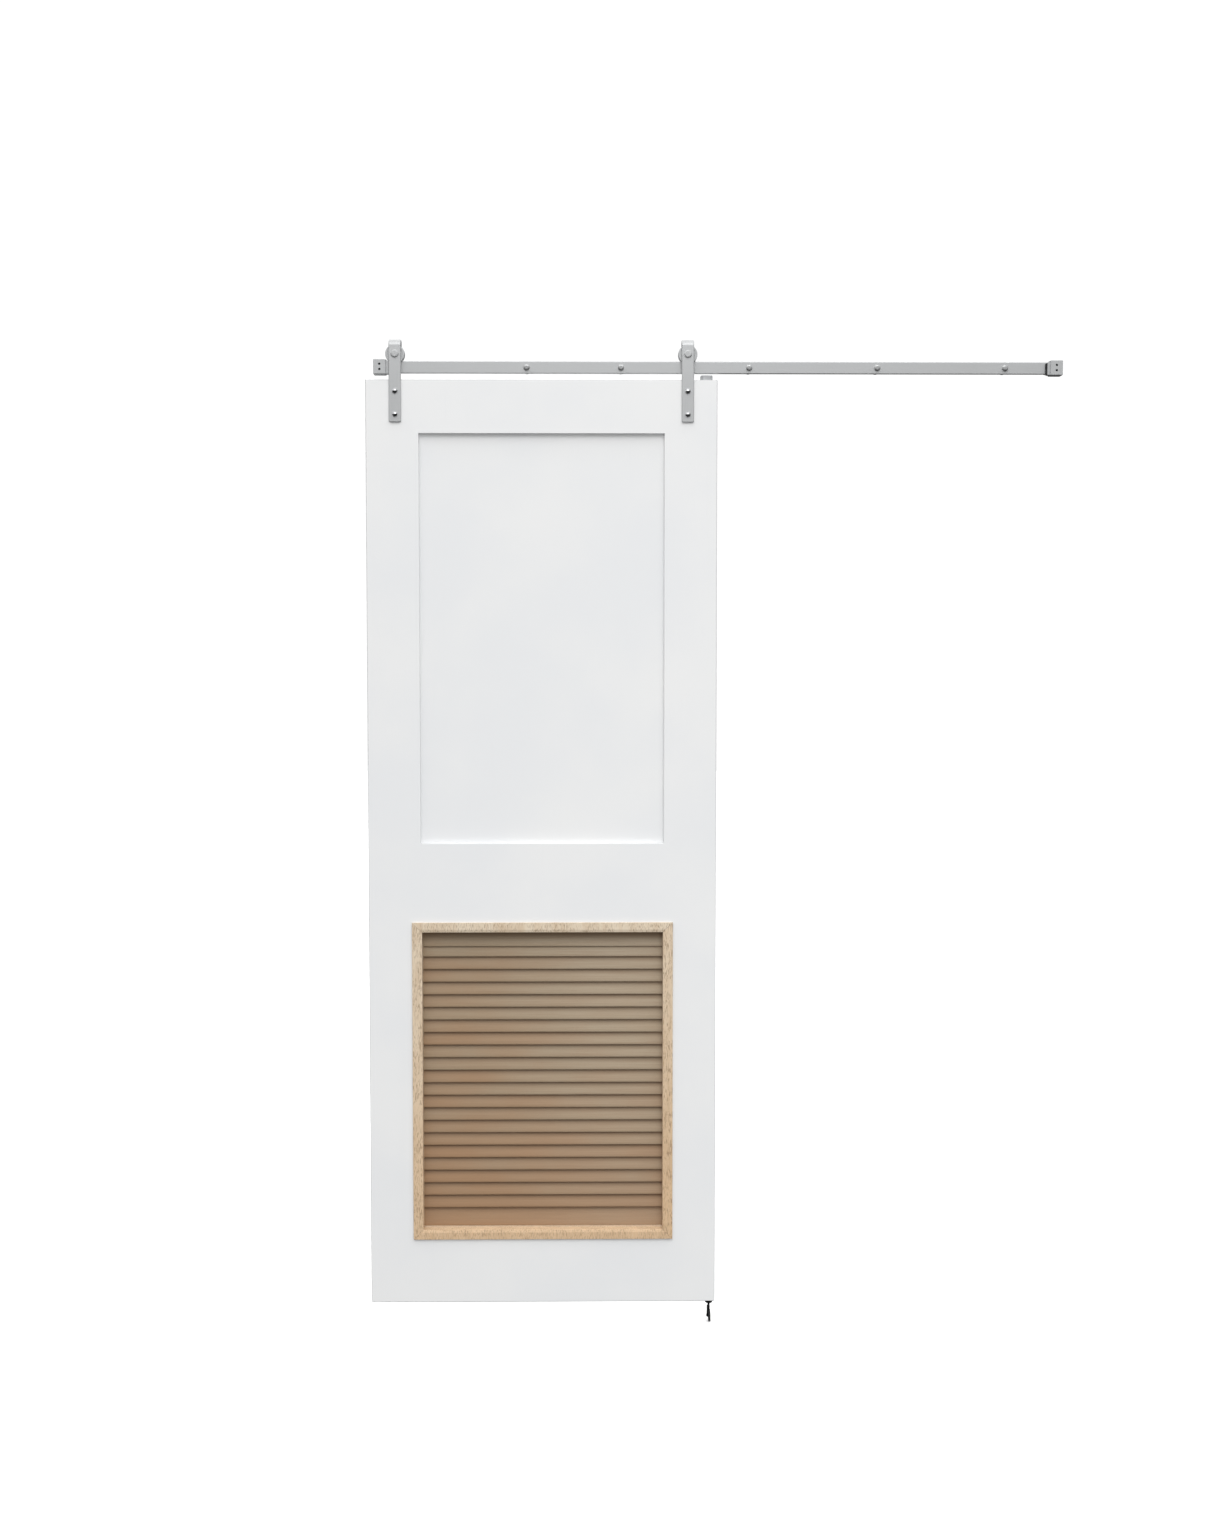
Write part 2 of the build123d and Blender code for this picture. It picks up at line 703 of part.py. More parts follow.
# ---- swivel roller ----
caster_x = door_right_x - caster_edge_distance
caster_head_z = door_bottom_z - caster_head_drop
caster_axle_y = door_mid_y + caster_trail
caster_axle_z = door_bottom_z - caster_total_height + caster_wheel_diameter / 2
caster_arm_x0 = caster_x - caster_arm_offset - caster_arm_thickness / 2
caster_arm_x1 = caster_arm_x0 + caster_arm_thickness
caster_wheel_x0 = caster_arm_x1 + caster_wheel_gap
caster_wheel_x1 = caster_wheel_x0 + caster_wheel_width
stem_bore = caster_stem_diameter / 2 + caster_stem_clearance


def make_caster_socket():
    flange_z = door_bottom_z - caster_flange_height
    socket = turned_z(caster_x, door_mid_y, [
        (stem_bore, flange_z - caster_cone_height),
        (caster_cone_diameter / 2, flange_z - caster_cone_height),
        (caster_flange_diameter / 2, flange_z),
        (caster_flange_diameter / 2, door_bottom_z),
        (caster_sleeve_diameter / 2, door_bottom_z),
        (caster_sleeve_diameter / 2, door_bottom_z + caster_sleeve_length),
        (stem_bore, door_bottom_z + caster_sleeve_length)])
    return socket


def make_caster_arm():
    """Stem, head and side arm of the roller in one piece."""
    stem_top = door_bottom_z + caster_sleeve_length - caster_stem_recess
    head_bottom = caster_head_z - caster_head_height
    half = caster_head_depth / 2
    head = block(caster_arm_x0, caster_x + caster_stem_diameter / 2, door_mid_y - half, door_mid_y + half,
                 head_bottom, caster_head_z)
    end = rod_x(caster_axle_y, caster_axle_z, caster_arm_x0, caster_arm_x1, caster_arm_end_radius)
    web = make_face(Polyline([
        (door_mid_y - half, head_bottom), (door_mid_y + half, head_bottom),
        (caster_axle_y + caster_arm_end_radius, caster_axle_z),
        (caster_axle_y - caster_arm_end_radius, caster_axle_z)], close=True))
    web = Pos(caster_arm_x0, 0, 0) * extrude(Plane.YZ * web, caster_arm_thickness)
    arm = head + end + web
    arm = fillet(arm.edges().filter_by(Axis.X).group_by(Axis.Z)[-1], caster_corner_radius)
    arm += rod_z(caster_x, door_mid_y, caster_head_z - caster_stem_root, stem_top, caster_stem_diameter / 2)
    return arm - rod_x(caster_axle_y, caster_axle_z, caster_arm_x0, caster_arm_x1, caster_axle_diameter / 2)


def make_caster_axle():
    radius = caster_axle_diameter / 2
    head = caster_axle_head_diameter / 2
    seat_x = caster_wheel_x1 - caster_axle_head_height - caster_axle_head_sink
    pin = rod_x(caster_axle_y, caster_axle_z, caster_arm_x0, seat_x, radius)
    pin += rod_x(caster_axle_y, caster_axle_z, caster_arm_x0 - caster_axle_head_height, caster_arm_x0, head)
    return pin + rod_x(caster_axle_y, caster_axle_z, seat_x, seat_x + caster_axle_head_height, head)


def make_caster_wheel():
    wheel = rod_x(caster_axle_y, caster_axle_z, caster_wheel_x0, caster_wheel_x1, caster_wheel_diameter / 2)
    wheel = fillet(wheel.edges().filter_by(GeomType.CIRCLE), caster_wheel_edge_radius)
    recess_x = caster_wheel_x1 - caster_axle_head_height - caster_axle_head_sink - caster_hub_recess_gap
    wheel -= rod_x(caster_axle_y, caster_axle_z, recess_x, caster_wheel_x1, caster_hub_recess_diameter / 2)
    bore = caster_axle_diameter / 2 + caster_axle_clearance
    return wheel - rod_x(caster_axle_y, caster_axle_z, caster_wheel_x0, caster_wheel_x1, bore)


# ---- write every part ----
os.makedirs("parts", exist_ok=True)

save("rail", make_rail())
save("wall_spacers", *[make_spacer(x) for x in lag_x])
save("lag_screws", *[make_lag_screw(x) for x in lag_x])
for side, word in ((-1, "left"), (1, "right")):
    save(f"end_stop_{word}", make_end_stop(side))
    save(f"stop_pads_{word}", *make_pads(side))
screw_z = set_screw_pitch / 2
save("stop_set_screws", *[make_set_screw(side, z) for side in (-1, 1) for z in (-screw_z, screw_z)])

for x, word in zip(hanger_x, ("left", "right")):
    save(f"hanger_strap_{word}", make_strap(x))
    save(f"wheel_{word}", make_wheel(x))
    save(f"wheel_{word}_bearing_ring", make_bearing_outer_ring(x))
    save(f"wheel_{word}_bearing_balls", *make_bearing_balls(x))
save("axle_bolts", *[make_axle_bolt(x) for x in hanger_x])
save("axle_washers", *[make_axle_washer(x) for x in hanger_x])
save("axle_nuts", *[make_axle_nut(x) for x in hanger_x])
save("axle_sleeves", *[sleeve for x in hanger_x for sleeve in make_axle_sleeves(x)])
save("bearing_inner_rings", *[make_bearing_inner_ring(x) for x in hanger_x])
save("strap_bolts", *[make_strap_bolt(x, z) for x in hanger_x for z in strap_bolt_z()])
save("sleeve_nuts", *[make_sleeve_nut(x, z) for x in hanger_x for z in strap_bolt_z()])

slab = door_envelope()
save("door_stile_left", make_stile(-1, slab))
save("door_stile_right", make_stile(1, slab))
save("door_top_rail", make_cross_rail(panel_top_z, door_top_z, slab))
save("door_middle_rail", make_cross_rail(louvre_top_z - cutout_inset, panel_bottom_z, slab))
save("door_bottom_rail", make_cross_rail(door_bottom_z, louvre_bottom_z + cutout_inset, slab))
save("door_upper_panel", make_upper_panel())

slat_length = 2 * (louvre_inner_half + slat_housing_depth)
housings = make_slats(slat_length, slat_housing_clearance)
sides = {
    "bottom": place_member(0, louvre_width, louvre_height / 2),
    "left": place_member(90, louvre_height, louvre_width / 2),
    "top": place_member(180, louvre_width, louvre_height / 2),
    "right": place_member(270, louvre_height, louvre_width / 2),
}
for word, member in sides.items():
    if word in ("left", "right"):
        member = member - housings
    save(f"louvre_frame_{word}", member)
save("louvre_slats", *make_slats(slat_length))

save("anti_jump_block", make_jump_block())
save("anti_jump_screw", make_jump_screw())
save("caster_socket", make_caster_socket())
save("caster_arm", make_caster_arm())
save("caster_axle", make_caster_axle())
save("caster_wheel", make_caster_wheel())
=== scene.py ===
"""Sliding barn door on a flat bar rail: the finished pieces, their finishes, the light and the camera.

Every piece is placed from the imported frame. Lengths are in metres.
"""

import json
import math

import bmesh
import bpy
import numpy as np
from bpy.props import FloatProperty, FloatVectorProperty, IntProperty, PointerProperty
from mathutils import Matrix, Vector


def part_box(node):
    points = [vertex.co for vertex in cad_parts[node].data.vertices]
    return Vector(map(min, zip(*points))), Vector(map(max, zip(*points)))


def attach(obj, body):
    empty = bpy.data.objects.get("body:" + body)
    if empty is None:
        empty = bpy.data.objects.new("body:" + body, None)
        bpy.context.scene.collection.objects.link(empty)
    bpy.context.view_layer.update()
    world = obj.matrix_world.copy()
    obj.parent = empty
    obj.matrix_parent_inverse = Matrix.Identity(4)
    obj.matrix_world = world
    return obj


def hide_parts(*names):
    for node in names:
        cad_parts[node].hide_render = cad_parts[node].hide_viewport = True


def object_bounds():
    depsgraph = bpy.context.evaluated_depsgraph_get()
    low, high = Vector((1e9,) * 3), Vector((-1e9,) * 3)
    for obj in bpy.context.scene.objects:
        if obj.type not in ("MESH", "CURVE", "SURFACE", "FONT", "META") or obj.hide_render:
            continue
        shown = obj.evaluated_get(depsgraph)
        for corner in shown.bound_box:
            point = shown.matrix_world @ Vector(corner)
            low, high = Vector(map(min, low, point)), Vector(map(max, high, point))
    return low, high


bl_info = {
    "name": "Sliding barn door",
    "version": (1, 0, 0),
    "blender": (4, 5, 0),
    "location": "3D Viewport > Sidebar > Barn Door",
    "description": "Builds a louvred barn door, its hangers and its rail over the packed frame",
    "category": "Add Mesh",
}

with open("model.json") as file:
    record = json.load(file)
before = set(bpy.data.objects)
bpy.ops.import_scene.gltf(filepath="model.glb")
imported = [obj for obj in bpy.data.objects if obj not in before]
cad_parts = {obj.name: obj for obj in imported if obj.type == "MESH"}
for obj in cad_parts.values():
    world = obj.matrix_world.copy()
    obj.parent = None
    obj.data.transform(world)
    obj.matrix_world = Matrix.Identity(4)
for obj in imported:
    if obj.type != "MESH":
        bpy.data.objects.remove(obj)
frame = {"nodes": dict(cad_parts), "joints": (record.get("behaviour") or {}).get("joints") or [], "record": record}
cad_box = [[float(value) for value in corner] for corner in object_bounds()]
MM = 0.001
# Distance from a rounded corner to the extra point that keeps a flat side flat under smooth shading.
FLAT_KEEPER = 0.3 * MM
# Points closer than this are one point.
MERGE = 2e-6
# A hexagon head's flat face as a share of the hexagon, and how fast the cone round it widens.
HEX_FACE = 0.93
HEX_CONE = 1.9
# Slats' section is a rounded box curve of this power: 2 is an ellipse, more is squarer.
SLAT_POWER = 2.8


# ---- places read from the frame ----
def edges(node):
    """Lowest and highest corner of a node as two arrays."""
    low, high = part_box(node)
    return np.array(low), np.array(high)


def half_height(node):
    """Half of a node's height: the radius of what is turned about a level axis."""
    low, high = edges(node)
    return (high[2] - low[2]) / 2


def joint_place(name):
    """Point that a hinge turns about."""
    return next(joint["pos_m"] for joint in frame["joints"] if joint["name"] == name)


rail_low, rail_high = edges("rail")
door_low = np.minimum(edges("door_stile_left")[0], edges("door_stile_right")[0])
door_high = np.maximum(edges("door_stile_left")[1], edges("door_stile_right")[1])
screw_x = [mount["pos_m"][0] for mount in frame["record"]["mounts"] if mount["kind"] == "pin"]
hanger_x = [joint_place("wheel_left_spin")[0], joint_place("wheel_right_spin")[0]]
wheel_mid_y = joint_place("wheel_left_spin")[1]
axle_z = joint_place("wheel_left_spin")[2]


# ---- sizes and colours that a user may change ----
def length(name, text, millimetres):
    """A length property, held in metres."""
    return FloatProperty(name=name, description=text, default=millimetres * MM, min=0.0, unit="LENGTH")


def colour(name, text, value):
    """A colour property, in linear light."""
    return FloatVectorProperty(name=name, description=text, default=value, size=3, subtype="COLOR",
                               min=0.0, max=1.0)


class BarnDoorRailSizes(bpy.types.PropertyGroup):
    edge: length("Rail edge", "Rounding along the rail's four edges", 2.0)
    screw_flange: length("Screw flange", "Thickness of the flange under the screw head", 1.5)
    screw_hex: length("Screw hexagon", "Distance across the flats of the screw head", 12.7)
    screw_shank: length("Screw shank", "Diameter of the plain shank", 7.0)
    screw_root: length("Screw root", "Diameter at the bottom of the thread", 5.8)
    screw_thread: length("Screw thread", "Diameter over the thread", 8.0)
    screw_pitch: length("Screw pitch", "Rise of the thread in one turn", 3.2)
    screw_tip: length("Screw tip", "Length of the pointed end", 6.0)
    spacer_body: length("Spacer body", "Diameter of the spacer behind the rail", 15.0)
    spacer_foot: length("Spacer foot", "Thickness of the foot against the wall", 8.0)
    spacer_bore: length("Spacer bore", "Diameter of the hole for the screw", 8.5)


class BarnDoorHangerSizes(bpy.types.PropertyGroup):
    strap_thick: length("Strap thickness", "Thickness of the bent bar", 5.0)
    strap_corner: length("Strap corner", "Corner radius at the strap's lower end", 4.5)
    strap_edge: length("Strap edge", "Rounding along the strap's edges", 2.0)
    crown_rise: length("Crown rise", "Height of the bend's centre over the axle", 21.3)
    axle_head: length("Axle head", "Height of the axle's round head", 3.0)
    axle: length("Axle", "Diameter of the axle", 8.0)
    axle_nut: length("Axle nut", "Distance across the flats of the axle nut", 13.0)
    rolling: length("Rolling radius", "Radius of the wheel's groove floor", 17.5)
    groove: length("Groove", "Width of the wheel's groove", 10.0)
    bearing: length("Bearing", "Outer diameter of the bearing", 22.0)
    bearing_wide: length("Bearing width", "Width of the bearing", 7.0)
    dome: length("Dome", "Height of the strap bolt's domed head", 5.0)
    bolt: length("Bolt", "Diameter of the strap bolt's shank", 8.0)
    nut_flange: length("Nut flange", "Thickness of the sleeve nut's flange", 3.0)
    nut_barrel: length("Nut barrel", "Diameter of the sleeve nut's barrel", 10.5)
    nut_socket: length("Nut socket", "Distance across the flats of the key socket", 5.0)


class BarnDoorLouvreSizes(bpy.types.PropertyGroup):
    member: length("Member width", "Face width of the frame members", 26.0)
    seat: length("Seat", "Width that laps over the door's face", 9.0)
    bevel: length("Bevel width", "Width of the bevel on the inner edge", 7.5)
    bevel_deep: length("Bevel depth", "Depth of the bevel on the inner edge", 2.0)
    mitre_gap: length("Mitre gap", "Half of the hairline at each mitre", 0.35)
    slat_count: IntProperty(name="Slats", description="Number of slats", default=23, min=2)
    slat_pitch: length("Slat pitch", "Rise from one slat to the next", 33.7)
    slat_wide: length("Slat width", "Width of one slat across its section", 40.0)
    slat_thick: length("Slat thickness", "Thickness of a slat at its middle", 6.0)
    lowest_extra: length("Lowest slat extra", "How much wider the lowest slat is", 15.8)
    lowest_lap: length("Lowest slat lap", "How much further it runs up behind the next", 7.0)
    slat_tilt: FloatProperty(name="Slat tilt", description="Lean of the slats from upright",
                             default=math.radians(14.0), subtype="ANGLE")


class BarnDoorColours(bpy.types.PropertyGroup):
    paint: colour("Paint", "Satin paint of the slab", (0.755, 0.765, 0.775))
    steel: colour("Steel", "Silver-grey finish of rail, straps and wheels", (0.59, 0.60, 0.605))
    zinc: colour("Zinc", "Plated small parts", (0.52, 0.53, 0.54))
    beech_light: colour("Light beech", "Palest tone of the louvre frame", (0.67, 0.575, 0.445))
    beech_dark: colour("Dark beech", "Warmest tone of the louvre frame", (0.595, 0.40, 0.23))
    fleck: colour("Beech fleck", "Dark flecks of the frame's grain", (0.22, 0.14, 0.08))
    slat_grey: colour("Grey slat", "Taupe tone of the upper slats", (0.31, 0.243, 0.165))
    slat_warm: colour("Warm slat", "Brown tone of the lower slats", (0.31, 0.19, 0.107))
    # Painted sheen: a pale highlight laid along the slats' lower right.
    slat_pale: colour("Pale slat", "Worn tone along the slats' lower right", (0.46, 0.39, 0.30))
    rubber: colour("Rubber", "Pads and roller tyre", (0.018, 0.018, 0.019))
    nylon: colour("Nylon", "Anti-jump block", (0.40, 0.41, 0.42))
    floor: colour("Floor", "Studio floor", (0.86, 0.86, 0.86))


class BarnDoorStage(bpy.types.PropertyGroup):
    lens: FloatProperty(name="Lens", description="Focal length of the camera", default=43.19,
                        unit="CAMERA")
    camera_x: length("Camera across", "Camera to the right of the door's middle", 114.9)
    camera_y: length("Camera back", "Camera in front of the door's face", 4772.6)
    camera_z: length("Camera up", "Camera above the door's lower edge", 1708.0)
    pitch: FloatProperty(name="Pitch", description="How far the camera looks down",
                         default=math.radians(3.104), subtype="ANGLE")
    yaw: FloatProperty(name="Yaw", description="How far the camera looks to the right",
                       default=math.radians(0.661), subtype="ANGLE")
    floor_size: length("Floor size", "Half width of the floor", 24000.0)


# ---- surfaces ----
class Skin:
    """Grids of points gathered into one mesh, with a UV map in metres and a lot number for each grid."""

    def __init__(self):
        self.points = []
        self.corners = []
        self.uvs = []
        self.lots = []
        self.count = 0

    def add(self, grid, lot=0.0, loop=False):
        """Add a grid of rows whose columns run round a closed section.

        Corner (i, j) of a face joins row i to i + 1 and column j to j + 1, the last column to the first,
        and with loop the last row to the first. U is the distance along the rows and V the greatest
        distance round the columns.
        """
        rows, columns = grid.shape[:2]
        i, j = np.meshgrid(np.arange(rows if loop else rows - 1), np.arange(columns), indexing="ij")
        turn = np.stack([i, i, i + 1, i + 1], -1)
        across = np.stack([j, j + 1, j + 1, j], -1)
        corners = (turn % rows) * columns + across % columns
        steps = np.linalg.norm(np.roll(grid, -1, 0) - grid, axis=-1).mean(1)
        round_steps = np.linalg.norm(np.roll(grid, -1, 1) - grid, axis=-1).max(0)
        u = np.concatenate([[0.0], np.cumsum(steps)])[turn]
        v = np.concatenate([[0.0], np.cumsum(round_steps)])[across]
        self.uvs.append(np.stack([u, v], -1).reshape(-1, 2))
        self.corners.append(corners.reshape(-1, 4) + self.count)
        self.points.append(grid.reshape(-1, 3))
        self.lots.append(np.full(rows * columns, lot))
        self.count += rows * columns

    def build(self, name, body, material, slot, stands_for, crease=35.0):
        """Make the object: points that meet are merged, which closes seams and poles, faces are turned
        outward, and edges sharper than crease degrees stay crisp."""
        mesh = bpy.data.meshes.new(name)
        points = np.concatenate(self.points)
        corners = np.concatenate(self.corners)
        mesh.vertices.add(len(points))
        mesh.vertices.foreach_set("co", points.ravel())
        mesh.loops.add(corners.size)
        mesh.loops.foreach_set("vertex_index", corners.ravel().astype(np.int32))
        mesh.polygons.add(len(corners))
        mesh.polygons.foreach_set("loop_start", np.arange(0, corners.size, 4, dtype=np.int32))
        mesh.update(calc_edges=True)
        mesh.uv_layers.new(name="UVMap").data.foreach_set("uv", np.concatenate(self.uvs).ravel())
        lots = mesh.attributes.new("lot", "FLOAT", "POINT")
        lots.data.foreach_set("value", np.concatenate(self.lots))
        work = bmesh.new()
        work.from_mesh(mesh)
        bmesh.ops.remove_doubles(work, verts=work.verts, dist=MERGE)
        bmesh.ops.recalc_face_normals(work, faces=work.faces)
        work.to_mesh(mesh)
        work.free()
        mesh.shade_smooth()
        mesh.set_sharp_from_angle(angle=math.radians(crease))
        mesh.materials.append(material)
        piece = bpy.data.objects.new(name, mesh)
        bpy.context.scene.collection.objects.link(piece)
        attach(piece, body)
        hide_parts(*stands_for)


def points_of(x, y, z):
    """Grid of points from three arrays of coordinates, each spread to the same rows and columns."""
    return np.stack(np.broadcast_arrays(x, y, z), -1)


def closed_ends(grid):
    """Grid with a row added at each end that draws in to the middle of the end row, which shuts it."""
    first = np.broadcast_to(grid[:1].mean(1, keepdims=True), grid[:1].shape)
    last = np.broadcast_to(grid[-1:].mean(1, keepdims=True), grid[-1:].shape)
    return np.concatenate([first, grid, last])


def eased(outline, radius, steps):
    """Closed outline whose corners are rounded.

    Tangent points A and B lie radius from a corner P, at most 0.45 of the shorter side, and the curve
    between them is (1 - s)^2 A + 2 s (1 - s) P + s^2 B. A point just beyond A and one just beyond B keep
    the sides flat under smooth shading. Radius is one number or one for each corner.
    """
    corner = np.asarray(outline, float)
    back = np.roll(corner, 1, 0) - corner
    ahead = np.roll(corner, -1, 0) - corner
    back_length = np.linalg.norm(back, axis=1, keepdims=True)
    ahead_length = np.linalg.norm(ahead, axis=1, keepdims=True)
    reach = np.broadcast_to(np.reshape(radius, (-1, 1)), back_length.shape)
    reach = np.minimum(reach, 0.45 * np.minimum(back_length, ahead_length))
    start = corner + back / back_length * reach
    stop = corner + ahead / ahead_length * reach
    s = np.linspace(0.0, 1.0, steps + 1)[None, :, None]
    curve = (1 - s) ** 2 * start[:, None] + 2 * s * (1 - s) * corner[:, None] + s ** 2 * stop[:, None]
    before = start + back * np.minimum(0.04, FLAT_KEEPER / back_length)
    after = stop + ahead * np.minimum(0.04, FLAT_KEEPER / ahead_length)
    return np.concatenate([before[:, None], curve, after[:, None]], 1).reshape(-1, 2)


def rounded_box_section(half_wide, half_deep, radius, steps=5):
    """Rectangle sections with quarter-circle corners, one for each row of half sizes.

    Point = corner centre (half sizes less radius) + radius (cos a, sin a), a running through each
    quarter turn, with one more point each side of it, slid along (-sin a, cos a), that keeps the sides
    flat under smooth shading. Gives an array of rows, points, 2.
    """
    wide, deep = (np.reshape(value, (-1, 1)) for value in np.broadcast_arrays(half_wide, half_deep))
    turn = np.concatenate([[0.0], np.linspace(0.0, np.pi / 2, steps + 1), [np.pi / 2]])
    angle = (turn[None] + np.arange(4)[:, None] * np.pi / 2).ravel()
    sign_x = np.repeat([1, -1, -1, 1], steps + 3)
    sign_y = np.repeat([1, 1, -1, -1], steps + 3)
    small = np.minimum(radius, 0.98 * np.minimum(wide, deep))
    slide = np.tile([-1.0] + [0.0] * (steps + 1) + [1.0], 4)
    x = sign_x * (wide - small) + small * np.cos(angle)
    x = x - slide * np.sin(angle) * np.minimum(FLAT_KEEPER, 0.3 * (wide - small))
    y = sign_y * (deep - small) + small * np.sin(angle)
    y = y + slide * np.cos(angle) * np.minimum(FLAT_KEEPER, 0.3 * (deep - small))
    return np.stack([x, y], -1)


def bar_along_x(low, high, radius, ease):
    """Bar between two corners with rounded long edges and eased ends.

    Near an end the section shrinks by ease (1 - sin t) while x runs ease (1 - cos t) in, t from 0 to a
    quarter turn. One more full-size row at twice the ease keeps the long faces flat.
    """
    t = np.linspace(0.0, np.pi / 2, 5)
    reach = np.append(ease * (1 - np.cos(t)), ease * 2)
    shrink = np.append(ease * (1 - np.sin(t)), 0.0)
    x = np.concatenate([low[0] + reach, high[0] - reach[::-1]])
    inset = np.concatenate([shrink, shrink[::-1]])
    middle, half = (low + high) / 2, (high - low) / 2
    section = rounded_box_section(half[1] - inset, half[2] - inset, radius)
    return closed_ends(points_of(x[:, None], middle[1] + section[..., 0], middle[2] + section[..., 1]))


def ring_angles(sides):
    """Angles of the columns of a turned shape."""
    return np.linspace(0.0, 2 * np.pi, sides, endpoint=False)


def hexagon(half, angle):
    """Distance from the middle to a hexagon's side: half / cos(angle folded to 30 degrees each way)."""
    folded = (angle + np.pi / 6) % (np.pi / 3) - np.pi / 6
    return half / np.cos(folded)


def hex_cone(half, angle, drops):
    """Pairs of (drop, radius) down a cone that cuts a hexagon's corners, from drops in millimetres.

    Radius = the lesser of the hexagon and the flat face's radius + HEX_CONE times the drop.
    """
    side = hexagon(half, angle)
    return [(drop * MM, np.minimum(side, half * HEX_FACE + HEX_CONE * drop * MM)) for drop in drops]


def soft_rim(face, way, radius, rim):
    """Rows round a soft rim; rim is millimetres (in from the face, in from the radius)."""
    return [(face + way * along * MM, radius - inward * MM) for along, inward in rim]


def turned(axis, place, rows, sides=64):
    """Shape turned about an axis: rows are (distance along, radius), radius one number or one for each
    angle a. Point = place + distance along the axis + radius (cos a, sin a) across it."""
    angle = ring_angles(sides)
    along = np.array([row[0] for row in rows], float)[:, None]
    radius = np.stack([np.broadcast_to(row[1], angle.shape) for row in rows])
    first, second = {"x": (1, 2), "y": (0, 2), "z": (0, 1)}[axis]
    grid = np.empty(radius.shape + (3,))
    grid[..., "xyz".index(axis)] = along
    grid[..., first] = radius * np.cos(angle)
    grid[..., second] = radius * np.sin(angle)
    return grid + np.asarray(place, float)


def turned_ring(axis, place, outline, radius, sides=64, steps=3):
    """Turned shape with a hole through it; outline is a closed list of (distance along, radius)."""
    return turned(axis, place, eased(outline, radius, steps), sides)


# ---- node trees ----
class Wire:
    """An output socket; arithmetic on it adds Math nodes."""

    def __init__(self, finish, socket):
        self.finish = finish
        self.socket = socket

    def _math(self, operation, *values):
        settings = {"operation": operation}
        return self.finish.node("ShaderNodeMath", settings, dict(enumerate(values)))[0]

    def __add__(self, other):
        return self._math("ADD", self, other)

    def __radd__(self, other):
        return self._math("ADD", other, self)

    def __sub__(self, other):
        return self._math("SUBTRACT", self, other)

    def __rsub__(self, other):
        return self._math("SUBTRACT", other, self)

    def __mul__(self, other):
        return self._math("MULTIPLY", self, other)

    def __rmul__(self, other):
        return self._math("MULTIPLY", other, self)

    def between(self, low, high):
        """0 at low and below, 1 at high and above, smooth between."""
        sockets = {"Value": self, "From Min": low, "From Max": high}
        settings = {"interpolation_type": "SMOOTHSTEP"}
        return self.finish.node("ShaderNodeMapRange", settings, sockets)["Result"]


class Made:
    """A node that has been made; indexing it gives an output as a Wire."""

    def __init__(self, finish, node):
        self.finish = finish
        self.made = node

    def __getitem__(self, key):
        return Wire(self.finish, self.made.outputs[key])


class Tree:
    """A node tree that starts empty."""

    def __init__(self, tree):
        self.tree = tree
        self.tree.nodes.clear()

    def node(self, kind, settings=None, sockets=None):
        """Make a node: its settings come first, then the values or wires of its sockets."""
        made = self.tree.nodes.new(kind)
        for key, value in (settings or {}).items():
            setattr(made, key, value)
        for key, value in (sockets or {}).items():
            if isinstance(value, Wire):
                self.tree.links.new(value.socket, made.inputs[key])
            else:
                made.inputs[key].default_value = value
        return Made(self, made)

    def parts(self, vector):
        """The X, Y and Z of a vector."""
        return self.node("ShaderNodeSeparateXYZ", None, {"Vector": vector})


class Finish(Tree):
    """One material; spot is where a point is on the piece: Object coordinates, or its UV in metres."""

    def __init__(self, name, source="Object"):
        self.material = bpy.data.materials.new(name)
        self.material.use_nodes = True
        super().__init__(self.material.node_tree)
        self.spot = self.node("ShaderNodeTexCoord")[source]

    def mix(self, share, first, second):
        """Two colours mixed by share."""
        first = first if isinstance(first, Wire) else (*first, 1.0)
        second = second if isinstance(second, Wire) else (*second, 1.0)
        return self.node("ShaderNodeMix", {"data_type": "RGBA"}, {0: share, 6: first, 7: second})[2]

    def stretched(self, scale, slide):
        """The spot times scale, and for a piece of several lots moved by slide along each axis."""
        spot = self.node("ShaderNodeMapping", None, {"Vector": self.spot, "Scale": scale})["Vector"]
        if slide is None:
            return spot
        shift = self.node("ShaderNodeCombineXYZ", None, {"X": slide, "Y": slide * 1.7, "Z": slide * 3.1})[0]
        return self.node("ShaderNodeVectorMath", {"operation": "ADD"}, {0: spot, 1: shift})[0]

    def lot(self):
        """The lot number of the grid that a point belongs to."""
        return self.node("ShaderNodeAttribute", {"attribute_name": "lot"})["Fac"]

    def noise(self, scale, detail, rough, slide=None):
        """Soft noise from 0 to 1; scale is one number, or one for each axis."""
        spot = self.spot
        if isinstance(scale, tuple):
            spot, scale = self.stretched(scale, slide), 1.0
        sockets = {"Vector": spot, "Scale": scale, "Detail": detail, "Roughness": rough}
        return self.node("ShaderNodeTexNoise", None, sockets)["Fac"]

    def bump(self, height, strength, depth, under=None):
        """Normal moved by a height from 0 to 1 that stands for depth metres."""
        sockets = {"Height": height, "Strength": strength, "Distance": depth}
        if under is not None:
            sockets["Normal"] = under
        return self.node("ShaderNodeBump", None, sockets)["Normal"]

    def close(self, base, rough, normal=None, metal=0.0, specular=0.5):
        """End the tree in a Principled shader."""
        sockets = {"Base Color": base, "Roughness": rough, "Metallic": metal, "Specular IOR Level": specular}
        if normal is not None:
            sockets["Normal"] = normal
        shader = self.node("ShaderNodeBsdfPrincipled", None, sockets)
        self.node("ShaderNodeOutputMaterial", None, {"Surface": shader["BSDF"]})
        return self.material


finished = {}


def finish(maker, *settings):
    """The material that a maker gives for these settings, made once."""
    key = (maker.__name__, *settings)
    if key not in finished:
        finished[key] = maker(*settings)
    return finished[key]


def tone(name):
    """A colour as now set by the user."""
    return tuple(getattr(bpy.context.scene.barn_door_colours, name))


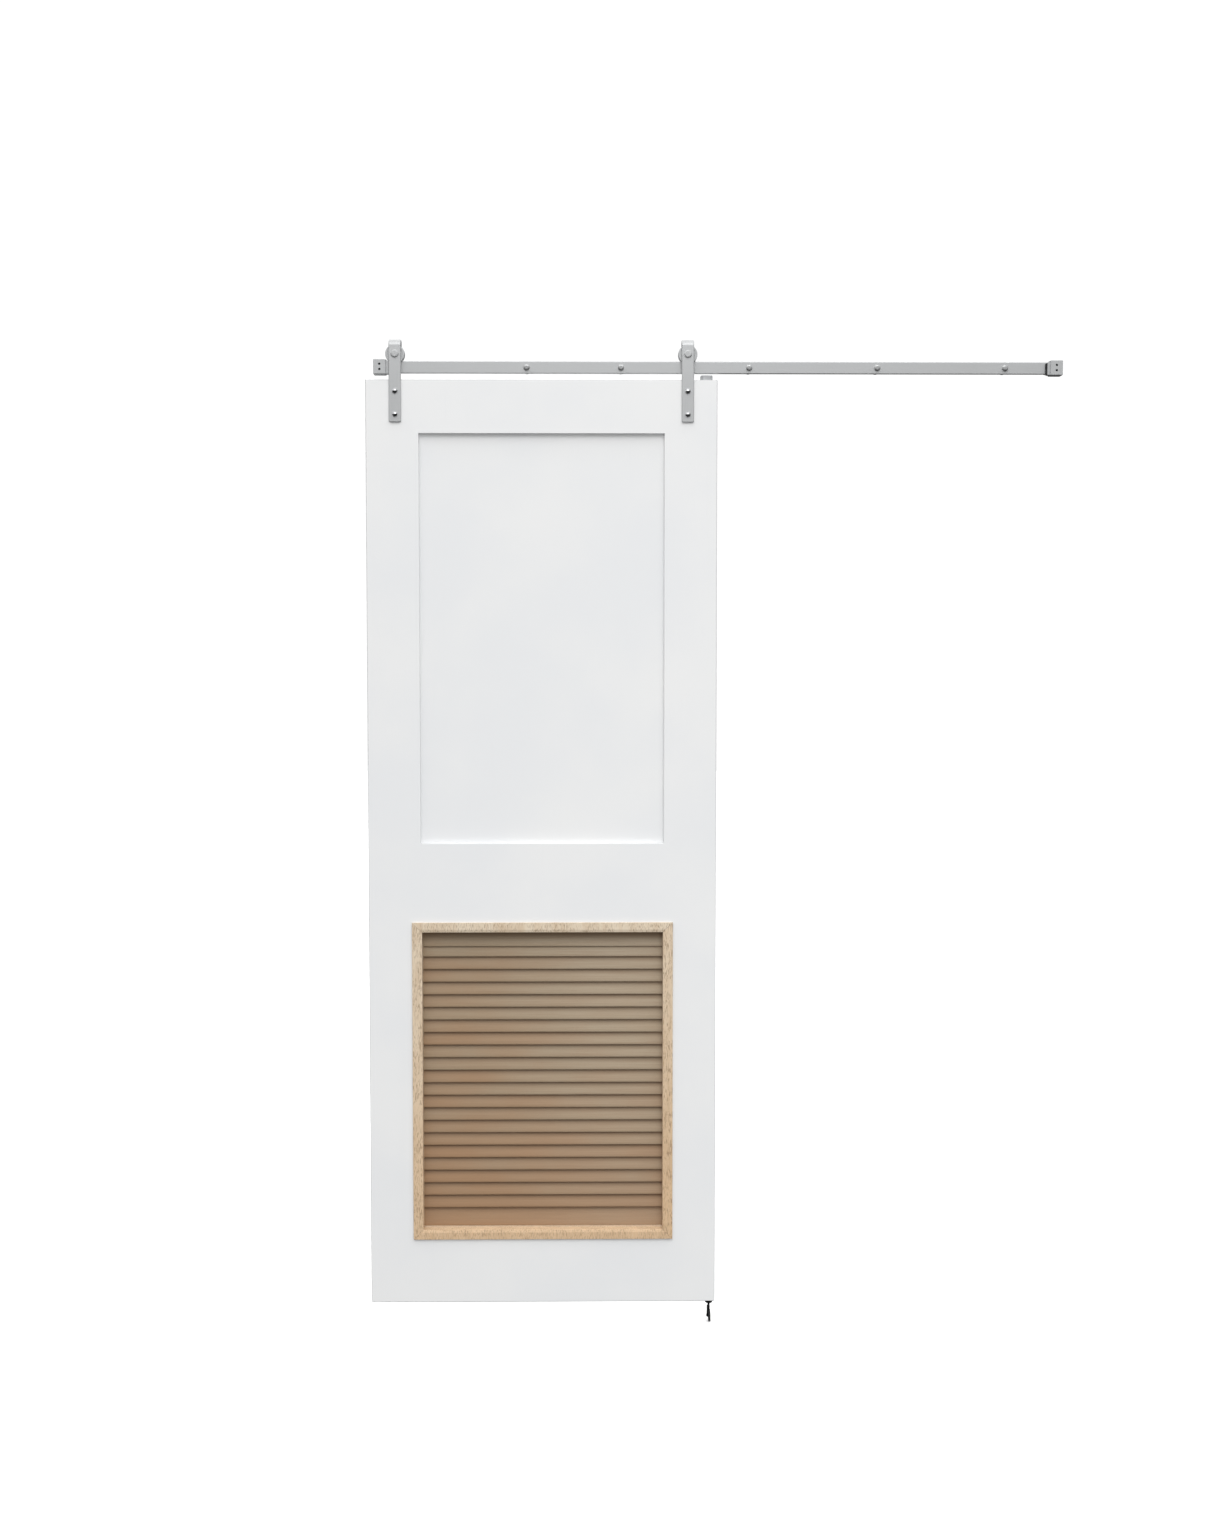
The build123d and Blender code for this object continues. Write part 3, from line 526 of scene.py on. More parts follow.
def scaled(base, *shares):
    """Colour times one share, or times one for each channel."""
    return tuple(np.clip(np.multiply(base, shares), 0.0, 1.0).tolist())


def satin_paint():
    """Satin lacquer on a board: roller texture, slow unevenness, a trace of filler ghosting and a thin
    painted shade line along the slab's outer edges, standing for the eased edges turned away from the light."""
    f = Finish("satin_paint")
    cloud = f.noise(2.2, 4.0, 0.55)
    roller = f.noise(420.0, 2.0, 0.6)
    drag = f.noise((160.0, 160.0, 5.0), 3.0, 0.6)
    paint = tone("paint")
    base = f.mix(cloud.between(0.35, 0.65), scaled(paint, 0.975), scaled(paint, 1.012, 1.004, 0.99))
    base = f.mix(drag.between(0.62, 0.8) * 0.25, base, scaled(paint, 0.94))
    spot = f.parts(f.spot)
    middle, half = (door_low + door_high) / 2, (door_high - door_low) / 2
    # Painted shade: the paint darkens within a few millimetres of the slab's outer edges, where the eased edges
    # turn away from the light.
    for name, axis in (("X", 0), ("Z", 2)):
        off = f.node("ShaderNodeMath", {"operation": "ABSOLUTE"}, {0: spot[name] - middle[axis]})[0]
        edge = off.between(half[axis] - 2.6 * MM, half[axis] - 1.2 * MM)
        base = f.mix(edge * 0.4, base, scaled(paint, 0.45))
    normal = f.bump(roller, 0.25, 0.00012)
    normal = f.bump(drag * 0.6 + cloud * 0.4, 0.3, 0.0003, normal)
    return f.close(base, 0.36 + 0.14 * cloud + 0.05 * roller, normal, specular=0.4)


def brushed_steel(source, across, along):
    """Silver-grey satin steel: brushing along the bar, cloudy plating, small pits and rubbed spots.

    Across is how fine the brushing is along each coordinate of source, and along takes the place of a 0.
    """
    f = Finish("brushed_steel_" + source.lower() + "_" + "_".join(str(int(v)) for v in (*across, along)),
               source)
    scale = tuple(along if value == 0 else value for value in across)
    grain = f.noise(scale, 4.0, 0.65, f.lot() if source == "UV" else None)
    cloud = f.noise(14.0, 3.0, 0.55)
    pits = f.noise(900.0, 1.0, 0.5).between(0.68, 0.8)
    steel = tone("steel")
    base = f.mix(grain.between(0.3, 0.7) * 0.7 + cloud * 0.3, scaled(steel, 0.95), scaled(steel, 1.04))
    base = f.mix(pits * 0.35, base, scaled(steel, 0.6))
    normal = f.bump(grain, 0.1, 0.00004)
    normal = f.bump(pits, 0.1, 0.00005, normal)
    return f.close(base, 0.42 + 0.08 * cloud + 0.06 * grain, normal, metal=0.7)


def zinc_plate():
    """Bright zinc plating: soft spangle, faint passivation tint and handling scuffs."""
    f = Finish("zinc_plate")
    spangle = f.node("ShaderNodeTexVoronoi", {"feature": "F1"}, {"Vector": f.spot, "Scale": 420.0})["Color"]
    shade = f.node("ShaderNodeSeparateColor", None, {"Color": spangle})[0]
    scuff = f.noise((300.0, 300.0, 900.0), 3.0, 0.6).between(0.55, 0.75)
    zinc = tone("zinc")
    base = f.mix(shade * 0.35, zinc, scaled(zinc, 1.05, 1.03, 0.95))
    base = f.mix(scuff * 0.4, base, scaled(zinc, 0.78))
    normal = f.bump(scuff + shade * 0.3, 0.15, 0.00005)
    return f.close(base, 0.26 + 0.14 * shade + 0.15 * scuff, normal, metal=0.78)


def polished_chrome():
    """Mirror chrome with hairline wiping scratches."""
    f = Finish("polished_chrome")
    scratch = f.noise((1800.0, 1800.0, 260.0), 2.0, 0.6).between(0.6, 0.72)
    haze = f.noise(160.0, 2.0, 0.5)
    base = f.mix(scratch * 0.3, (0.78, 0.79, 0.80), (0.55, 0.56, 0.57))
    return f.close(base, 0.06 + 0.08 * haze + 0.12 * scratch, f.bump(scratch, 0.1, 0.00003), metal=1.0)


def black_rubber():
    """Moulded rubber: fine matt grain, dust in the hollows and a scuffed bloom."""
    f = Finish("black_rubber")
    grain = f.noise(1500.0, 3.0, 0.6)
    bloom = f.noise(90.0, 4.0, 0.6)
    rubber = tone("rubber")
    base = f.mix(bloom.between(0.45, 0.75) * 0.6, rubber, scaled(rubber, 2.6))
    return f.close(base, 0.62 + 0.2 * grain, f.bump(grain, 0.35, 0.0001), specular=0.35)


def black_lacquer():
    """Black stove-enamelled metal: orange peel and lighter rubbed grain."""
    f = Finish("black_lacquer")
    peel = f.noise(700.0, 2.0, 0.5)
    rub = f.noise(60.0, 4.0, 0.6).between(0.5, 0.8)
    base = f.mix(rub * 0.4, (0.006, 0.006, 0.007), (0.02, 0.02, 0.022))
    return f.close(base, 0.32 + 0.14 * peel + 0.15 * rub, f.bump(peel, 0.3, 0.0001), specular=0.3)


def grey_nylon():
    """Moulded nylon: cloudy body colour and spark-eroded texture."""
    f = Finish("grey_nylon")
    cloud = f.noise(110.0, 3.0, 0.5)
    spark = f.noise(1900.0, 2.0, 0.6)
    nylon = tone("nylon")
    base = f.mix(cloud.between(0.3, 0.7), scaled(nylon, 0.9), scaled(nylon, 1.12))
    return f.close(base, 0.42 + 0.14 * spark, f.bump(spark, 0.3, 0.0001))


def flecked_beech():
    """Oiled beech: pale at the top and warmer lower down, with slow bands, fine grain and short dark
    upright flecks; each member has its own lot."""
    f = Finish("flecked_beech")
    lot = f.lot()
    band = f.noise((55.0, 55.0, 9.0), 4.0, 0.6, lot * 13.0)
    fine = f.noise((900.0, 900.0, 70.0), 3.0, 0.6, lot * 5.0)
    strokes = f.noise((520.0, 520.0, 80.0), 2.0, 0.5, lot * 7.0)
    patch = f.noise((24.0, 24.0, 24.0), 2.0, 0.5, lot * 3.0)
    fleck = strokes.between(0.51, 0.63) * patch.between(0.25, 0.5)
    dark = tone("beech_dark")
    height = f.parts(f.spot)["Z"]
    lower = 1.0 - height.between(edges("louvre_frame_bottom")[0][2], edges("louvre_frame_top")[1][2])
    base = f.mix(lower * 0.7 + lot * 0.3, tone("beech_light"), dark)
    base = f.mix(band.between(0.35, 0.7) * 0.45, base, scaled(dark, 0.8))
    base = f.mix(fine.between(0.3, 0.7) * 0.18, base, (0.80, 0.70, 0.56))
    base = f.mix(fleck * 0.56, base, tone("fleck"))
    normal = f.bump(fine * 0.5 - fleck * 0.5 + band * 0.2, 0.35, 0.00015)
    return f.close(base, 0.5 + 0.12 * fine - 0.05 * band, normal, specular=0.35)


def slat_veneer():
    """Stained slat: one tone for each slat, greyer toward the top, with a painted pale sheen at the lower right,
    long soft streaks, fine pores and painted shade along the upper edge, where the slat above shadows it."""
    f = Finish("slat_veneer", "UV")
    lot, where = f.lot(), f.parts(f.spot)
    right = where["X"].between(0.1, 0.6) * (0.35 + 0.65 * lot)
    # 0 at a slat's upper edge and 1 from its lower middle down; it masks the painted shade and sheen below.
    low = where["Y"].between(0.006, 0.026)
    own = f.node("ShaderNodeTexWhiteNoise", {"noise_dimensions": "1D"}, {"W": lot * 97.0})["Value"]
    drift = f.noise((4.5, 9.0, 1.0), 3.0, 0.5, lot * 211.0)
    streak = f.noise((7.0, 420.0, 1.0), 4.0, 0.6, lot * 131.0)
    pores = f.noise((160.0, 2600.0, 1.0), 2.0, 0.5, lot * 57.0).between(0.58, 0.75)
    warm = tone("slat_warm")
    share = (1.0 - lot) * 0.8 + (own - right) * 0.5 + (drift - 0.5) * 1.4
    base = f.mix(share, tone("slat_grey"), warm)
    # Painted sheen: a pale highlight over the lower middle of each slat, stronger toward the right.
    base = f.mix(low * right * 0.4, base, tone("slat_pale"))
    # Painted shade: each slat is darkened along its upper edge, where the slat above would shadow it.
    base = f.mix((1.0 - low) * 0.55, base, scaled(warm, 0.36))
    base = f.mix(streak.between(0.3, 0.75) * 0.3, base, scaled(warm, 0.72))
    base = f.mix(pores * 0.3, base, scaled(warm, 0.5))
    normal = f.bump(streak * 0.7 - pores * 0.5, 0.12, 0.00006)
    return f.close(base, 0.46 + 0.12 * streak, normal, specular=0.3)


def studio_floor():
    """Pale matt floor with the faintest mottling."""
    f = Finish("studio_floor")
    cloud = f.noise(1.3, 3.0, 0.5)
    floor = tone("floor")
    return f.close(f.mix(cloud, scaled(floor, 0.985), floor), 0.8, specular=0.1)


def dress(node, material):
    """Give a CAD node its material."""
    slots = frame["nodes"][node].data.materials
    slots.clear()
    slots.append(material)


# ---- rail side ----
class BARNDOOR_OT_rail(bpy.types.Operator):
    """Make the flat bar rail with its rounded edges, and finish the end stops, pads and set screws"""

    bl_idname = "barndoor.rail"
    bl_label = "Rail and end stops"

    def execute(self, context):
        sizes = context.scene.barn_door_rail
        rail = Skin()
        rail.add(bar_along_x(rail_low, rail_high, sizes.edge, 0.4 * MM))
        rail.build("flat_rail", "track", finish(brushed_steel, "UV", (0, 1500.0, 1.0), 9.0),
                   "silver_steel", ["rail"])
        for side in ("left", "right"):
            dress(f"end_stop_{side}", finish(brushed_steel, "Object", (0, 1100.0, 1100.0), 14.0))
            dress(f"stop_pads_{side}", finish(black_rubber))
        dress("stop_set_screws", finish(black_lacquer))
        return {"FINISHED"}


class BARNDOOR_OT_wall_fixings(bpy.types.Operator):
    """Make the flanged hexagon wall screws, thread and all, and the stepped spacers"""

    bl_idname = "barndoor.wall_fixings"
    bl_label = "Wall screws and spacers"

    def execute(self, context):
        sizes = context.scene.barn_door_rail
        low, high = edges("lag_screws")
        front, tip, flange = low[1], high[1], half_height("lag_screws")
        seat, angle, half = rail_low[1], ring_angles(60), sizes.screw_hex / 2
        hexed, face = hexagon(half, angle), half * HEX_FACE
        shank, root, crest = sizes.screw_shank / 2, sizes.screw_root / 2, sizes.screw_thread / 2
        pitch, taper = sizes.screw_pitch, sizes.screw_tip
        thin = seat - sizes.screw_flange
        # Head: a flat face, a cone that cuts the hexagon's corners, then the flange with a soft rim.
        rows = [(front, 0.0), (front, face * 0.55), (front, face)]
        cone = hex_cone(half, angle, (0.0, 0.15, 0.35, 0.6, 0.9, 1.3))
        rows += [(front + drop, radius) for drop, radius in cone]
        rows += [(thin - 0.2 * MM, hexed), (thin, hexed + 0.3 * MM)]
        rows += soft_rim(thin, 1, flange, [(0.1, 0.9), (0.45, 0.15), (0.8, 0)])
        rows += [(seat, flange), (seat, shank), (0.0, shank), (0.3 * MM, root)]
        # Thread: radius = root + (crest - root) * ridge(distance / pitch - angle / turn), where ridge is
        # a tent over the middle half of each pitch; it fades in at the shank and out along the tip.
        along = np.arange(0.0006, tip - 0.0002, pitch / 9)
        phase = (along[:, None] / pitch - angle[None] / (2 * np.pi)) % 1.0
        ridge = np.clip(1.0 - np.abs(phase - 0.5) * 4.0, 0.0, 1.0)
        fade = np.clip(along / pitch, 0.0, 1.0)[:, None]
        point = np.clip((tip - along) / taper, 0.0, 1.0)[:, None]
        radius = (root + (crest - root) * ridge * fade) * point ** 0.85
        rows += list(zip(along, radius)) + [(tip, 0.0)]
        screws, spacers = Skin(), Skin()
        foot_radius = half_height("wall_spacers")
        body_radius, bore = sizes.spacer_body / 2, sizes.spacer_bore / 2
        step = -sizes.spacer_foot
        outline = [(rail_high[1], bore), (rail_high[1], body_radius), (step, body_radius),
                   (step, foot_radius), (0.0, foot_radius), (0.0, bore)]
        for number, x in enumerate(screw_x):
            screws.add(turned("y", (x, 0, 0), rows, 60), number)
            spacers.add(turned_ring("y", (x, 0, 0), outline, 0.6 * MM, 56), number, loop=True)
        screws.build("wall_screws", "track", finish(zinc_plate), "bright_steel", ["lag_screws"])
        spacers.build("stepped_spacers", "track", finish(zinc_plate), "zinc_steel", ["wall_spacers"])
        return {"FINISHED"}


# ---- hangers ----
def strap_grid(node, x, sizes):
    """Flat bar carried along a path: up the door, half a turn over the wheel, down to the axle.

    With s the distance from the lower end, L1 the front leg, R the bend's radius at mid thickness and
    a = clip((s - L1) / R, 0, pi): y = middle - R cos a, z = foot + min(s, L1) + R sin a - the rest of s.
    Half width falls by r - sqrt(r^2 - (r - d)^2) within the corner radius r of an end, d from that end,
    and the whole section by the same rule for the edge rounding.
    """
    low, high = edges(node)
    thick = sizes.strap_thick
    half = (high[0] - low[0]) / 2
    crown = axle_z + sizes.crown_rise
    bend = (high[1] - low[1]) / 2 - thick / 2
    front_leg, rear_leg = crown - low[2], crown - (axle_z - half)
    total = front_leg + np.pi * bend + rear_leg
    # Rows lie close together at the lower end, round the bend and in the round end.
    near = np.concatenate([np.linspace(0, 1, 9) ** 2 * 0.002, np.linspace(0.0025, 0.0048, 5)])
    round_end = half * (1 - np.cos(np.linspace(0.05, np.pi / 2, 20)))
    middle = np.concatenate([[front_leg], front_leg + np.linspace(0.02, 0.98, 40) * np.pi * bend,
                             [front_leg + np.pi * bend]])
    s = np.concatenate([near, [front_leg / 2], middle, total - round_end[::-1], [total]])
    s = np.unique(np.round(s, 7))

    def drawn_in(distance, radius):
        left = np.clip(radius - distance, 0.0, radius)
        return radius - np.sqrt(radius ** 2 - left ** 2)

    corner, edge = sizes.strap_corner, sizes.strap_edge
    width = half - drawn_in(s, corner) - drawn_in(total - s, half * 0.985)
    width = width - drawn_in(s, edge) * 0.5
    deep = thick / 2 - drawn_in(s, edge) - drawn_in(total - s, 0.8 * MM)
    angle = np.clip((s - front_leg) / bend, 0.0, np.pi)
    y = wheel_mid_y - bend * np.cos(angle)
    past = np.clip(s - front_leg - np.pi * bend, 0.0, None)
    z = low[2] + np.minimum(s, front_leg) + bend * np.sin(angle) - past
    section = rounded_box_section(width, np.maximum(deep, 0.1 * MM), edge, 6)
    across, out = section[..., 0], section[..., 1]
    y = y[:, None] - out * np.cos(angle)[:, None]
    z = z[:, None] + out * np.sin(angle)[:, None]
    return closed_ends(points_of(x + across, y, z))


class BARNDOOR_OT_straps(bpy.types.Operator):
    """Make the two bent strap hangers"""

    bl_idname = "barndoor.straps"
    bl_label = "Strap hangers"

    def execute(self, context):
        sizes = context.scene.barn_door_hangers
        for number, (x, side) in enumerate(zip(hanger_x, ("left", "right"))):
            strap = Skin()
            strap.add(strap_grid(f"hanger_strap_{side}", x, sizes), number)
            strap.build(f"strap_{side}", "door", finish(brushed_steel, "UV", (0, 1500.0, 1.0), 11.0),
                        "silver_steel", [f"hanger_strap_{side}"], 50.0)
        return {"FINISHED"}


class BARNDOOR_OT_wheels(bpy.types.Operator):
    """Turn the grooved wheels, and finish the bearing in each one"""

    bl_idname = "barndoor.wheels"
    bl_label = "Wheels and bearings"

    def execute(self, context):
        sizes = context.scene.barn_door_hangers
        low, high = edges("wheel_left")
        half, rim = (high[1] - low[1]) / 2, half_height("wheel_left")
        groove, floor = sizes.groove / 2, sizes.rolling
        bore, lip = sizes.bearing / 2, sizes.bearing_wide / 2
        clear = bore - 1.5 * MM
        # Flange faces carry a shallow turned step, 0.4 mm deep, halfway between bore and rim.
        step, sunk = (bore + rim) / 2 + 2.0 * MM, 0.4 * MM
        outline = [(-lip - 0.6 * MM, bore), (-half + sunk, bore), (-half + sunk, step), (-half, step),
                   (-half, rim), (-groove, rim), (-groove, floor), (groove, floor), (groove, rim),
                   (half, rim), (half, step), (half - sunk, step), (half - sunk, clear), (lip, clear),
                   (lip, bore)]
        radii = np.array([0.2, 0.8, 0.3, 0.3, 1.3, 1.3, 0.5, 0.5, 1.3, 1.3, 0.3, 0.3, 0.6, 0.2, 0.1]) * MM
        for side, x in zip(("left", "right"), hanger_x):
            place = (x, wheel_mid_y, axle_z)
            wheel = Skin()
            wheel.add(turned_ring("y", place, outline, radii, 120, 5), loop=True)
            wheel.build(f"grooved_wheel_{side}", f"wheel_{side}",
                        finish(brushed_steel, "UV", (1700.0, 0, 1.0), 30.0), "silver_steel",
                        [f"wheel_{side}"])
            dress(f"wheel_{side}_bearing_ring", finish(zinc_plate))
            dress(f"wheel_{side}_bearing_balls", finish(polished_chrome))
        dress("bearing_inner_rings", finish(zinc_plate))
        return {"FINISHED"}


class BARNDOOR_OT_axles(bpy.types.Operator):
    """Turn the axle bolts, washers and nuts, and finish the spacing sleeves"""

    bl_idname = "barndoor.axles"
    bl_label = "Axles"

    def execute(self, context):
        sizes = context.scene.barn_door_hangers
        low, high = edges("axle_bolts")
        head, radius = half_height("axle_bolts"), sizes.axle / 2
        seat = low[1] + sizes.axle_head
        washer, nut = edges("axle_washers"), edges("axle_nuts")
        washer_radius = half_height("axle_washers")
        angle, half = ring_angles(60), sizes.axle_nut / 2
        hexed = hexagon(half, angle)
        rim = [(0, 4.2), (0, 1.5), (0.15, 1.0), (0.5, 0.45), (0.95, 0.12), (1.4, 0)]
        bolt_rows = [(low[1], 0.0)] + soft_rim(low[1], 1, head, rim)
        bolt_rows += [(seat - 0.2 * MM, head), (seat, head - 0.2 * MM), (seat, radius),
                      (high[1] - 0.6 * MM, radius), (high[1], radius - 0.6 * MM), (high[1], 0.0)]
        top = nut[1][1]
        cone = hex_cone(half, angle, (0.0, 0.2, 0.45, 0.8, 1.3))
        nut_rows = [(nut[0][1], radius), (nut[0][1], hexed - 0.2 * MM), (nut[0][1] + 0.2 * MM, hexed)]
        nut_rows += [(top - drop, side) for drop, side in reversed(cone)]
        nut_rows += [(top, radius + 0.8 * MM), (top - 0.7 * MM, radius)]
        hole = radius + 0.1 * MM
        washer_outline = [(washer[0][1], hole), (washer[0][1], washer_radius),
                          (washer[1][1], washer_radius), (washer[1][1], hole)]
        bolts, nuts, washers = Skin(), Skin(), Skin()
        for number, x in enumerate(hanger_x):
            place = (x, 0, axle_z)
            bolts.add(turned("y", place, bolt_rows, 72), number)
            nuts.add(turned("y", place, nut_rows, 60), number, loop=True)
            washers.add(turned_ring("y", place, washer_outline, 0.25 * MM), number, loop=True)
        steel = finish(brushed_steel, "UV", (1700.0, 0, 1.0), 30.0)
        bolts.build("axle_pins", "door", steel, "silver_steel", ["axle_bolts"])
        nuts.build("axle_hex_nuts", "door", finish(zinc_plate), "zinc_steel", ["axle_nuts"])
        washers.build("axle_flat_washers", "door", finish(zinc_plate), "zinc_steel", ["axle_washers"])
        dress("axle_sleeves", finish(zinc_plate))
        return {"FINISHED"}


class BARNDOOR_OT_strap_bolts(bpy.types.Operator):
    """Turn the domed strap bolts and the sleeve nuts they screw into from behind"""

    bl_idname = "barndoor.strap_bolts"
    bl_label = "Strap bolts"

    def execute(self, context):
        sizes = context.scene.barn_door_hangers
        low, high = edges("strap_bolts")
        nut_low, nut_high = edges("sleeve_nuts")
        dome, shank = sizes.dome, sizes.bolt / 2
        flange = (nut_high[0] - nut_low[0] - (hanger_x[1] - hanger_x[0])) / 2
        cap = (high[0] - low[0] - (hanger_x[1] - hanger_x[0])) / 2
        heights = (high[2] - cap, low[2] + cap)
        # Dome: a cap of a ball, radius ball = (cap^2 + dome^2) / (2 dome), swept by its polar angle.
        ball = (cap ** 2 + dome ** 2) / (2 * dome)
        polar = np.linspace(0.0, math.asin(cap / ball), 18)
        bolt_rows = list(zip(low[1] + ball * (1 - np.cos(polar)), ball * np.sin(polar)))
        bolt_rows += [(low[1] + dome, shank), (high[1] - 0.5 * MM, shank), (high[1], shank - 0.5 * MM),
                      (high[1], 0.0)]
        socket = hexagon(sizes.nut_socket / 2, ring_angles(60))
        back = nut_high[1]
        seat = back - sizes.nut_flange
        barrel = sizes.nut_barrel / 2
        nut_rows = [(back - 2.0 * MM, 0.0), (back - 2.0 * MM, socket), (back - 0.2 * MM, socket),
                    (back, socket + 0.2 * MM)]
        nut_rows += soft_rim(back, -1, flange, [(0, 1.3), (0.15, 0.7), (0.55, 0.2), (1.2, 0)])
        bottom = nut_low[1] + 15.0 * MM
        nut_rows += [(seat, flange), (seat, barrel), (nut_low[1] + 0.3 * MM, barrel),
                     (nut_low[1], barrel - 0.3 * MM), (nut_low[1], shank), (bottom, shank), (bottom, 0.0)]
        bolts, nuts = Skin(), Skin()
        for number, (x, z) in enumerate((x, z) for x in hanger_x for z in heights):
            bolts.add(turned("y", (x, 0, z), bolt_rows, 56), number)
            nuts.add(turned("y", (x, 0, z), nut_rows, 60), number)
        bolts.build("domed_bolts", "door", finish(polished_chrome), "chrome_bolt", ["strap_bolts"])
        nuts.build("flanged_sleeve_nuts", "door", finish(zinc_plate), "zinc_steel", ["sleeve_nuts"])
        return {"FINISHED"}


# ---- door slab ----
class BARNDOOR_OT_slab(bpy.types.Operator):
    """Paint the stiles, cross rails and upper panel"""

    bl_idname = "barndoor.slab"
    bl_label = "Painted slab"

    def execute(self, context):
        for node in frame["nodes"]:
            if node.startswith("door_"):
                dress(node, finish(satin_paint))
        return {"FINISHED"}


class BARNDOOR_OT_louvre_frame(bpy.types.Operator):
    """Make the four mitred, bevelled members of the louvre frame"""

    bl_idname = "barndoor.louvre_frame"
    bl_label = "Louvre frame"

    def execute(self, context):
        sizes = context.scene.barn_door_louvre
        low = np.minimum(edges("louvre_frame_left")[0], edges("louvre_frame_bottom")[0])
        high = np.maximum(edges("louvre_frame_right")[1], edges("louvre_frame_top")[1])
        front, back, face = low[1], high[1], door_low[1]
        wide, seat = sizes.member, sizes.member - sizes.seat
        bevel, deep, gap = sizes.bevel, sizes.bevel_deep, sizes.mitre_gap
        outline = [(0.0, face), (0.0, front), (wide - bevel, front), (wide, front + deep),
                   (wide, back), (seat, back), (seat, face)]
        radii = np.array([0.1, 0.5, 0.7, 0.7, 0.5, 0.5, 0.1]) * MM
        section = eased(outline, radii, 4)
        inward, depth = section[:, 0], section[:, 1]
        corner = {"bottom": (low[0], low[2], 1, 1), "top": (low[0], high[2], 1, -1),
                  "left": (low[0], low[2], 1, 1), "right": (high[0], low[2], -1, 1)}
        tone = {"bottom": 0.7, "top": 0.1, "left": 0.3, "right": 0.9}
        for side, (x, z, way_x, way_z) in corner.items():
            flat = side in ("bottom", "top")
            length = (high - low)[0 if flat else 2]
            # A member's ends follow its own section: along runs from inward + gap to length less that.
            along = np.stack([inward + gap, length - inward - gap])
            grid = points_of(x + (along if flat else way_x * inward), depth,
                             z + (way_z * inward if flat else along))
            member = Skin()
            member.add(closed_ends(grid), tone[side])
            member.build(f"mitred_member_{side}", "door", finish(flecked_beech), "beech_frame",
                         [f"louvre_frame_{side}"])
        return {"FINISHED"}


class BARNDOOR_OT_slats(bpy.types.Operator):
    """Make the crowned slats that lean back behind one another"""

    bl_idname = "barndoor.slats"
    bl_label = "Slats"

    def execute(self, context):
        sizes = context.scene.barn_door_louvre
        low, high = edges("louvre_slats")
        wide, thick, tilt = sizes.slat_wide, sizes.slat_thick, sizes.slat_tilt
        extra, pitch, count = sizes.lowest_extra, sizes.slat_pitch, sizes.slat_count
        highest = high[2] - (wide - thick) * math.cos(tilt) - thick
        number = np.arange(count)
        nose = np.where(number == 0, low[2], np.minimum(low[2] + extra + number * pitch, highest))
        width = np.where(number == 0, wide + extra + sizes.lowest_lap, wide)
        # Section: |s / half width|^p + |n / half thickness|^p = 1, p = SLAT_POWER, s up the slat and n
        # toward the room, so that both faces are crowned and the edges are round; straight along x.
        angle = ring_angles(44)
        power = 2 / SLAT_POWER
        up = np.sign(np.cos(angle)) * np.abs(np.cos(angle)) ** power
        out = np.sign(np.sin(angle)) * np.abs(np.sin(angle)) ** power * thick / 2
        slats = Skin()
        for i, z0, w in zip(number, nose, width):
            half = (w - thick) / 2
            s = up * w / 2
            y = low[1] + thick / 2 + half * math.sin(tilt) + s * math.sin(tilt) - out * math.cos(tilt)
            z = z0 + thick / 2 + half * math.cos(tilt) + s * math.cos(tilt) + out * math.sin(tilt)
            x = np.linspace(low[0], high[0], 3)
            slats.add(closed_ends(points_of(x[:, None], y, z)), i / (count - 1))
        slats.build("crowned_slats", "door", finish(slat_veneer), "slat_wood", ["louvre_slats"])
        return {"FINISHED"}


# ---- small door fittings ----
class BARNDOOR_OT_anti_jump(bpy.types.Operator):
    """Finish the anti-jump block on top of the door and its screw"""

    bl_idname = "barndoor.anti_jump"
    bl_label = "Anti-jump block"

    def execute(self, context):
        dress("anti_jump_block", finish(grey_nylon))
        dress("anti_jump_screw", finish(zinc_plate))
        return {"FINISHED"}


class BARNDOOR_OT_roller(bpy.types.Operator):
    """Turn the swivel roller's socket and tyre, and finish its arm and axle"""

    bl_idname = "barndoor.roller"
    bl_label = "Floor roller"

    def execute(self, context):
        low, high = edges("caster_socket")
        x, y = ((low + high) / 2)[:2]
        flange, bottom, seat = (high[0] - low[0]) / 2, low[2], door_low[2]
        bore, sleeve, cone = 2.95 * MM, 4.5 * MM, 6.0 * MM
        outline = [(bottom, bore), (bottom, cone), (bottom + 2.8 * MM, flange), (seat, flange),
                   (seat, sleeve), (high[2], sleeve), (high[2], bore)]
        radii = np.array([0.3, 0.9, 1.6, 0.9, 0.1, 0.5, 0.2]) * MM
        socket = Skin()
        socket.add(turned_ring("z", (x, y, 0), outline, radii, 64, 4), loop=True)
        socket.build("roller_socket", "door", finish(black_lacquer), "black_metal", ["caster_socket"])
        low, high = edges("caster_wheel")
        middle, radius = (low + high) / 2, half_height("caster_wheel")
        # Profile in millimetres: bore, hub, sunk web and tread, then back down the other side.
        wide, r = (high[0] - low[0]) / MM, radius / MM
        profile = [(0, 2.05), (0, 6.0), (0.5, 7.2), (0.5, 11.4), (0, 12.6), (0, r - 0.3), (wide / 2, r),
                   (wide, r - 0.3), (wide, 12.6), (wide - 0.5, 11.4), (wide - 0.5, 7.2), (wide, 6.2),
                   (wide, 5.0), (wide - 1.1, 5.0), (wide - 1.1, 2.05)]
        outline = np.array(profile) * MM + (low[0], 0)
        radii = np.array([0.1, 0.4, 0.4, 0.4, 0.4, 2.2, 2.0, 2.2, 0.4, 0.4, 0.4, 0.3, 0.2, 0.1, 0.1]) * MM
        tyre = Skin()
        tyre.add(turned_ring("x", (0, middle[1], middle[2]), outline, radii, 96, 4), loop=True)
        tyre.build("roller_tyre", "caster_roller", finish(black_rubber), "black_rubber", ["caster_wheel"])
        dress("caster_arm", finish(black_lacquer))
        dress("caster_axle", finish(black_lacquer))
        return {"FINISHED"}


